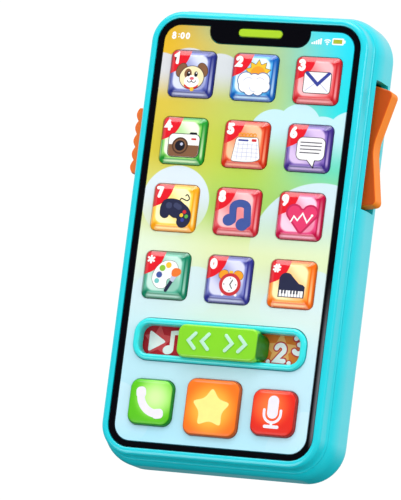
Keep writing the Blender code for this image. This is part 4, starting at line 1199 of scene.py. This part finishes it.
def heart_icon(p):
    lobe = arc(2.55, 1.5, 2.65, 2.6, 150, -30, 12)
    tip = [(1.3, -3.9), (0.5, -4.8), (0.0, -5.0), (-0.5, -4.8), (-1.3, -3.9)]
    outline = moved(lobe + tip + [(-x, z) for x, z in reversed(lobe)], 0.9, -0.6)
    p.add("magenta", outline)
    p.add("rose", shrink(outline, 0.55), layer=1)
    pulse = [(-2.5, -2.0), (-1.6, -0.3), (-0.4, -1.5), (1.1, 0.7), (2.7, -2.0), (4.0, 0.0)]
    p.add("white", stroke(pulse, 0.45), layer=2)
    p.add("white", oval(4.1, 0.2, 0.4), layer=3)


def paint_icon(p):
    blob = smooth([(-4.4, -1.6), (-3.4, 2.0), (-0.4, 4.6), (3.2, 4.4), (4.6, 1.6), (3.0, -0.6), (1.0, -1.6),
                   (0.6, -4.2), (-2.4, -4.4)])
    outlined(p, "white", blob, 0.12)
    dabs = (("gold", 1.0, 3.3, 1.0), ("lime", -1.1, 2.2, 1.05), ("note_blue", -2.0, -0.1, 1.05),
            ("aqua", -2.6, -2.2, 0.85))
    for ink_name, x, z, radius in dabs:
        p.add(ink_name, oval(x, z, radius), layer=2)
    p.add("navy", stroke([(2.7, -1.8), (0.9, -5.2)], 1.15), layer=3)
    p.add("lilac", moved(rounded(1.6, 2.2, 0.3, (0, 0), 3), 3.0, -1.0, -28), layer=4)
    tip = smooth([(2.6, -0.2), (2.4, 1.4), (3.4, 2.4), (5.2, 2.2), (5.6, 0.8), (4.2, -0.4)])
    p.add("orange", tip, layer=5)


def clock_icon(p):
    for side in (-1, 1):
        outlined(p, "amber", oval(1.1 + side * 2.6, 1.5, 1.75, 1.5, -side * 30), 0.12)
        p.add("white", oval(1.1 + side * 2.3, -5.1, 0.5), layer=0)
    p.add("gold", rounded(1.4, 1.0, 0.4, (1.1, 2.4), 3), layer=1)
    p.add("crimson", oval(1.1, -1.7, 3.8), layer=3)
    p.add("white", oval(1.1, -1.7, 2.7), layer=4)
    p.add("dark", stroke([(1.1, -1.7), (1.9, -0.2)], 0.36), stroke([(1.1, -1.7), (1.9, -3.0)], 0.3), layer=5)
    for hour in range(0, 360, 90):
        angle = math.radians(hour)
        p.add("dark", oval(1.1 + 2.1 * math.cos(angle), -1.7 + 2.1 * math.sin(angle), 0.2, steps=10), layer=5)


def piano_icon(p):
    lid = [(-4.1, -2.0)] + arc(-1.7, 1.3, 2.4, 2.3, 180, 30, 10)
    lid += smooth([(1.4, 1.5), (2.8, 0.2), (4.3, -0.2), (5.0, -0.9)])[5:14] + [(5.0, -2.0)]
    body = lid + [(5.0, -4.6), (-4.1, -4.6)]
    p.add("navy", body)
    keys = 8
    width = 8.4 / keys
    for index in range(keys):
        p.add("white", rounded(width - 0.14, 2.1, 0.1, (-3.75 + width * (index + 0.5), -3.3), 2), layer=1)
    for index in (1, 2, 4, 5, 6):
        p.add("navy", rounded(0.55, 1.2, 0.05, (-3.75 + width * index, -2.8), 2), layer=2)


# picture of each key and its scale
ICONS = {
    "1": (dog_icon, 1.02), "2": (weather_icon, 1.0), "3": (mail_icon, 0.97), "4": (camera_icon, 1.05),
    "5": (calendar_icon, 1.08), "6": (chat_icon, 1.05), "7": (gamepad_icon, 1.05), "8": (music_icon, 1.06),
    "9": (heart_icon, 1.1), "star": (paint_icon, 1.0), "0": (clock_icon, 1.0), "hash": (piano_icon, 1.0),
}
INK_COLOURS = {
    "white": (252, 252, 250), "dark": (30, 28, 40), "brown": (134, 92, 62), "dark_brown": (84, 54, 38),
    "cream": (250, 232, 184), "pink": (226, 96, 110), "red": (214, 32, 40), "gold": (250, 196, 40),
    "amber": (246, 160, 26), "line_blue": (70, 110, 170), "lilac": (196, 200, 226), "grey": (84, 80, 96),
    "navy_blue": (52, 64, 156), "navy": (38, 42, 74), "slate": (62, 68, 104), "green": (90, 180, 70),
    "note_blue": (62, 86, 160), "magenta": (200, 20, 84), "rose": (232, 52, 108), "lime": (140, 200, 50),
    "aqua": (110, 200, 196), "orange": (240, 120, 40), "crimson": (206, 44, 52), "battery": (170, 182, 36),
    "pearl": (240, 236, 250), "pale_yellow": (255, 240, 140), "pale_red": (220, 70, 76),
    "pale_orange": (246, 178, 96),
}
INKS = {name: ink("ink_" + name, linear(*colour)) for name, colour in INK_COLOURS.items()}

# deep colour (painted shade), middle colour and pale colour (painted highlight) of each key
KEY_COLOURS = {
    "1": ((40, 48, 130), (104, 114, 184), (216, 222, 244)),
    "2": ((10, 92, 178), (84, 176, 230), (226, 242, 250)),
    "3": ((196, 30, 40), (226, 88, 92), (246, 184, 188)),
    "4": ((30, 150, 46), (140, 212, 100), (240, 250, 224)),
    "5": ((204, 44, 16), (232, 104, 66), (248, 192, 152)),
    "6": ((62, 42, 130), (130, 104, 184), (216, 192, 232)),
    "7": ((244, 160, 14), (252, 208, 76), (255, 246, 190)),
    "8": ((196, 36, 50), (224, 92, 100), (246, 190, 192)),
    "9": ((186, 10, 64), (224, 70, 124), (250, 206, 226)),
    "star": ((14, 124, 92), (90, 176, 150), (196, 230, 218)),
    "0": ((46, 48, 136), (116, 122, 190), (214, 216, 240)),
    "hash": ((238, 104, 12), (248, 160, 70), (255, 236, 178)),
}


def make_keys():
    """Twelve keys, each with its badge numeral and picture."""
    for key in KEYS:
        shades = [linear(*colour) for colour in KEY_COLOURS[key]]
        place = key_cap(key, key_plastic("key_%s_plastic" % key, *shades))
        picture = Print("key_%s_picture" % key, place.front, place.centre)
        write(picture, key, -6.6, 3.1, 3.6, 1.0 if key == "4" else 1.15)
        draw, picture.scale = ICONS[key]
        draw(picture)
        picture.finish("key_" + key, SLOTS["app_key_" + key])


def call_mark(p):
    """Handset sign: a curved bar with two round ends."""
    p.add("pearl", stroke(arc(3.2, 2.4, 6.5, 6.3, 178, 270, 18), 2.7))
    p.add("pearl", moved(rounded(3.4, 3.8, 1.4, (0, 0), 6), -3.35, 2.9, 8), layer=0.4)
    p.add("pearl", moved(rounded(3.9, 3.3, 1.4, (0, 0), 6), 3.3, -3.8, 8), layer=0.8)


def mic_mark(p):
    """Microphone sign."""
    p.add("pearl", rounded(3.7, 7.6, 1.8, (0, 1.8), 8))
    cradle = [(-2.9, 0.8)] + arc(0, -0.4, 2.9, 2.9, 180, 360, 18) + [(2.9, 0.8)]
    p.add("pearl", stroke(cradle, 0.9), layer=0.4)
    p.add("pearl", stroke([(0, -3.3), (0, -4.6)], 0.9), rounded(5.4, 1.1, 0.5, (0, -4.7), 5), layer=0.8)


def star_mark(p):
    """Plump five-pointed star."""
    p.add("pale_yellow", blunt(star(0, -0.4, 7.1, 4.1), 1.5))


# sign, then the colours of the painted shade on the sides, the edge, the middle and the painted glow, and the
# place where the painted glow is brightest
BUTTON_LOOKS = {
    "call": (call_mark, (10, 128, 4), (84, 192, 0), (120, 222, 20), (206, 246, 160), 1.8, 1.6),
    "star": (star_mark, (180, 78, 4), (244, 112, 0), (246, 142, 6), (250, 196, 70), 0.0, -0.6),
    "mic": (mic_mark, (160, 18, 4), (224, 26, 0), (236, 44, 4), (250, 116, 50), -1.0, 2.0),
}


def make_buttons():
    """Call, star and microphone buttons with a painted glow, as if lit from behind."""
    for name, (mark, *shades, x, z) in BUTTON_LOOKS.items():
        node = name + "_button"
        half = Place(node).width / 2 - FLANGE
        material = lit_plastic(name + "_plastic", half, *[linear(*shade) for shade in shades], x, z)
        place = push_button(node, name + "_push", material)
        sign = Print(name + "_sign", place.front, place.centre)
        mark(sign)
        sign.finish(name + "_push", SLOTS[node])


def make_status_bar():
    """Clock digits, signal bars, fan and battery on the screen."""
    p = Print("status_bar", Place("screen_panel").front, (0.0, LIFT))
    for glyph, x in (("8", -31.3), (":", -29.6), ("0", -28.3), ("0", -26.4)):
        write(p, glyph, x, 140.8, 2.5, 0.55)
    for index in range(5):
        tall = 0.6 + 0.36 * index
        p.add("white", rounded(0.55, tall, 0.1, (18.8 + 0.75 * index, 141.4 + tall / 2), 2))
    p.add("white", stroke(arc(24.1, 141.6, 1.5, 1.5, 50, 130, 8), 0.4),
          stroke(arc(24.1, 141.6, 0.8, 0.8, 50, 130, 6), 0.4), oval(24.1, 141.6, 0.3, steps=12))
    p.add("white", rounded(4.1, 2.3, 0.4, (27.8, 142.6), 3), rounded(0.6, 1.0, 0.2, (30.1, 142.6), 2))
    p.add("battery", rounded(3.1, 1.4, 0.15, (27.7, 142.6), 2), layer=1)
    p.finish("root", "screen_print")


def make_label_signs():
    """Play sign and note at the left of the slider label, numerals at the right."""
    label = Place("slider_label")
    p = Print("label_signs", label.front, label.centre)
    p.add("pale_red", star(-23.0, 0.0, 5.6, 2.8))
    p.add("white", blunt([(-26.4, 3.6), (-26.4, -3.8), (-20.2, -0.1)], 1.0), layer=1)
    p.add("white", stroke([(-18.2, -2.4), (-18.2, 3.0), (-15.0, 3.4)], 1.5), layer=1)
    p.add("white", oval(-19.3, -2.7, 1.9, 1.5, 15), layer=1.5)
    p.add("pale_orange", star(20.2, 0.0, 6.4, 3.0))
    for glyph, place, low_edge in (("2", 18.0, -4.4), ("3", 24.4, -1.2)):
        write(p, glyph, place, low_edge, 7.0, 2.5, "crimson", 1)
        write(p, glyph, place, low_edge, 7.0, 1.6, layer=2.5)
    for ink_name, radius, layer in (("crimson", 1.1, 1), ("white", 0.75, 2.5)):
        p.add(ink_name, oval(16.3, -4.0, radius), oval(23.6, -4.0, radius), layer=layer)
    p.finish("root", "label_print")


# ---------------------------------------------------------------- the CAD pieces that stay


def paint_cad_nodes():
    """Give each CAD node that stays the material of its slot."""
    materials = {"housing_teal": TEAL_PLASTIC, "screw_steel": SCREW_STEEL, "bezel_black": bezel_plastic(),
                 "label_print": label_print(), "cell_sleeve": cell_sleeve()}
    for make, slot, colour, *finish in (
            (gloss_plastic, "light_lime", (160, 200, 20), 0.3, 0.3, 0.15),
            (gloss_plastic, "white_plastic", (228, 228, 224), 0.4, 0.1),
            (gloss_plastic, "board_green", (20, 110, 60), 0.4, 0.3),
            (gloss_plastic, "led_lens", (236, 236, 228), 0.2, 0.5, 0.4),
            (gloss_plastic, "switch_black", (28, 28, 32), 0.45, 0.1),
            (metal, "contact_plate", (206, 206, 210), 0.22),
            (metal, "speaker_metal", (90, 92, 98), 0.4),
            (metal, "switch_metal", (170, 172, 176)),
            (rubbery, "silicone", (206, 206, 200)),
            (rubbery, "wire_red", (196, 30, 30)),
            (rubbery, "wire_black", (30, 30, 32))):
        materials[slot] = make(slot, linear(*colour), *finish)
    for name, item in frame["nodes"].items():
        if not item.hide_render:
            item.data.materials.clear()
            item.data.materials.append(materials[SLOTS[name]])


# ---------------------------------------------------------------- light, floor and camera


def make_world():
    """White backdrop, dim below for soft light, and dark behind the camera in reflections."""
    world = bpy.data.worlds.new("studio")
    bpy.context.scene.world = world
    world.use_nodes = True
    sky = Nodes(world.node_tree)

    def slope(space, low, high, at_low, at_high):
        """Strength that changes along Z of a kind of coordinates."""
        height = sky.wire("SeparateXYZ", sky.wire("TexCoord", output=space), output="Z")
        return sky.ramp(height, low, high, at_low, at_high)

    def backdrop(first, second=1.0):
        return sky.wire("Background", (1, 1, 1, 1), sky.times(first, second))

    def choose(rays, first, second):
        return sky.wire("MixShader", sky.wire("LightPath", output=rays), first, second)

    below_above = (0.15, 0.9)
    near_far = (1.05, 0.7)
    behind_beyond = (0.02, 0.85)
    floor_sky = (0.0, 1.0)
    soft = backdrop(slope("Generated", -1.0, -0.55, *below_above), slope("Camera", -0.6, 0.9, *near_far))
    mirrored = backdrop(slope("Camera", -0.35, 0.55, *behind_beyond),
                        slope("Generated", -0.25, 0.2, *floor_sky))
    seen = choose("Is Camera Ray", choose("Is Glossy Ray", soft, mirrored), backdrop(1.05))
    sky.feed(sky.tree.nodes["World Output"].inputs[0], seen)


def make_floor():
    """Pale floor that fades out sideways and is seen only from above.

    The main camera looks up past the floor's edge, so its underside is clear.
    """
    mesh = bpy.data.meshes.new("floor")
    mesh.from_pydata([(-1, -1, 0), (1, -1, 0), (1, 1, 0), (-1, 1, 0)], [], [(0, 1, 2, 3)])
    floor = add("floor", mesh)
    floor.location = (0, 0, -0.0004)
    paint = Shader("floor_paint")
    white = paint.mottle(linear(250, 250, 250), 0.01, 3.0)
    paint.set(Base_Color=white, Roughness=0.6, Specular_IOR_Level=0.1)
    point = paint.wire("TexCoord", output="Object")
    spread = paint.wire("VectorMath", point, output="Value", operation="LENGTH")
    below = paint.wire("NewGeometry", output="Backfacing")
    clear = paint.math("MAXIMUM", below, paint.fade(spread, 0.8, 0.15))
    unseen = paint.math("SUBTRACT", 1.0, paint.wire("LightPath", output="Is Camera Ray"))
    clear = paint.math("MAXIMUM", clear, unseen)
    shown = paint.wire("MixShader", clear, paint.surface.outputs[0], paint.wire("BsdfTransparent"))
    paint.feed(paint.tree.nodes["Material Output"].inputs[0], shown)
    mesh.materials.append(paint.material)


def area_light(name, position, height, size, power, mirrored, lights=True):
    """Square soft light aimed at a height on the Z axis, in metres."""
    data = bpy.data.lights.new(name, "AREA")
    data.size = size
    data.energy = power
    lamp = add(name, data)
    lamp.location = position
    lamp.visible_glossy = mirrored
    lamp.visible_diffuse = lights
    lamp.rotation_mode = "QUATERNION"
    lamp.rotation_quaternion = (Vector((0, 0, height)) - Vector(position)).to_track_quat("-Z", "Y")


def make_camera():
    """Long lens from below right, turned so that the phone leans clockwise."""
    azimuth = math.radians(21.5)
    elevation = math.radians(-8.33)
    roll = math.radians(7.28)
    distance = 1.430
    target = at(-11.29, 0.0, LIFT + 69.81) * MM
    back = Vector((math.sin(azimuth) * math.cos(elevation), -math.cos(azimuth) * math.cos(elevation),
                   math.sin(elevation)))
    level = Vector((math.cos(azimuth), math.sin(azimuth), 0.0))
    right = level * math.cos(roll) + back.cross(level) * math.sin(roll)
    turn = Matrix((right, back.cross(right), back)).transposed()
    data = bpy.data.cameras.new("camera")
    data.sensor_width = 36.0
    data.lens = 310.5
    data.clip_start = 0.05
    data.clip_end = 20.0
    camera = add("camera", data)
    camera.matrix_world = Matrix.Translation(target + back * distance) @ turn.to_4x4()
    bpy.context.scene.camera = camera


screen_sheet()
for screw in CASE_SCREWS:
    drive_screw(screw, "root", 1.7)
drive_screw("battery_door_screw", "door", 0.75)
front_shell()
rear_shell()
surround()
knob()
rocker()
side_slide()
make_keys()
make_buttons()
make_status_bar()
make_label_signs()
paint_cad_nodes()
make_world()
make_floor()
area_light("key_light", (-0.7, -1.0, 0.9), 0.07, 0.7, 4.6, False)
area_light("side_light", (1.2, -0.3, 0.5), 0.07, 0.5, 4.0, True)
area_light("top_light", (0.1, -0.6, 1.1), 0.07, 0.6, 4.0, True)
area_light("upper_panel", (-0.3, -0.5, 1.1), 0.15, 0.9, 10.0, True, False)
area_light("low_panel", (-0.3, -0.76, -0.57), 0.0, 0.9, 7.5, True, False)
make_camera()
bpy.context.scene.view_settings.view_transform = "Standard"
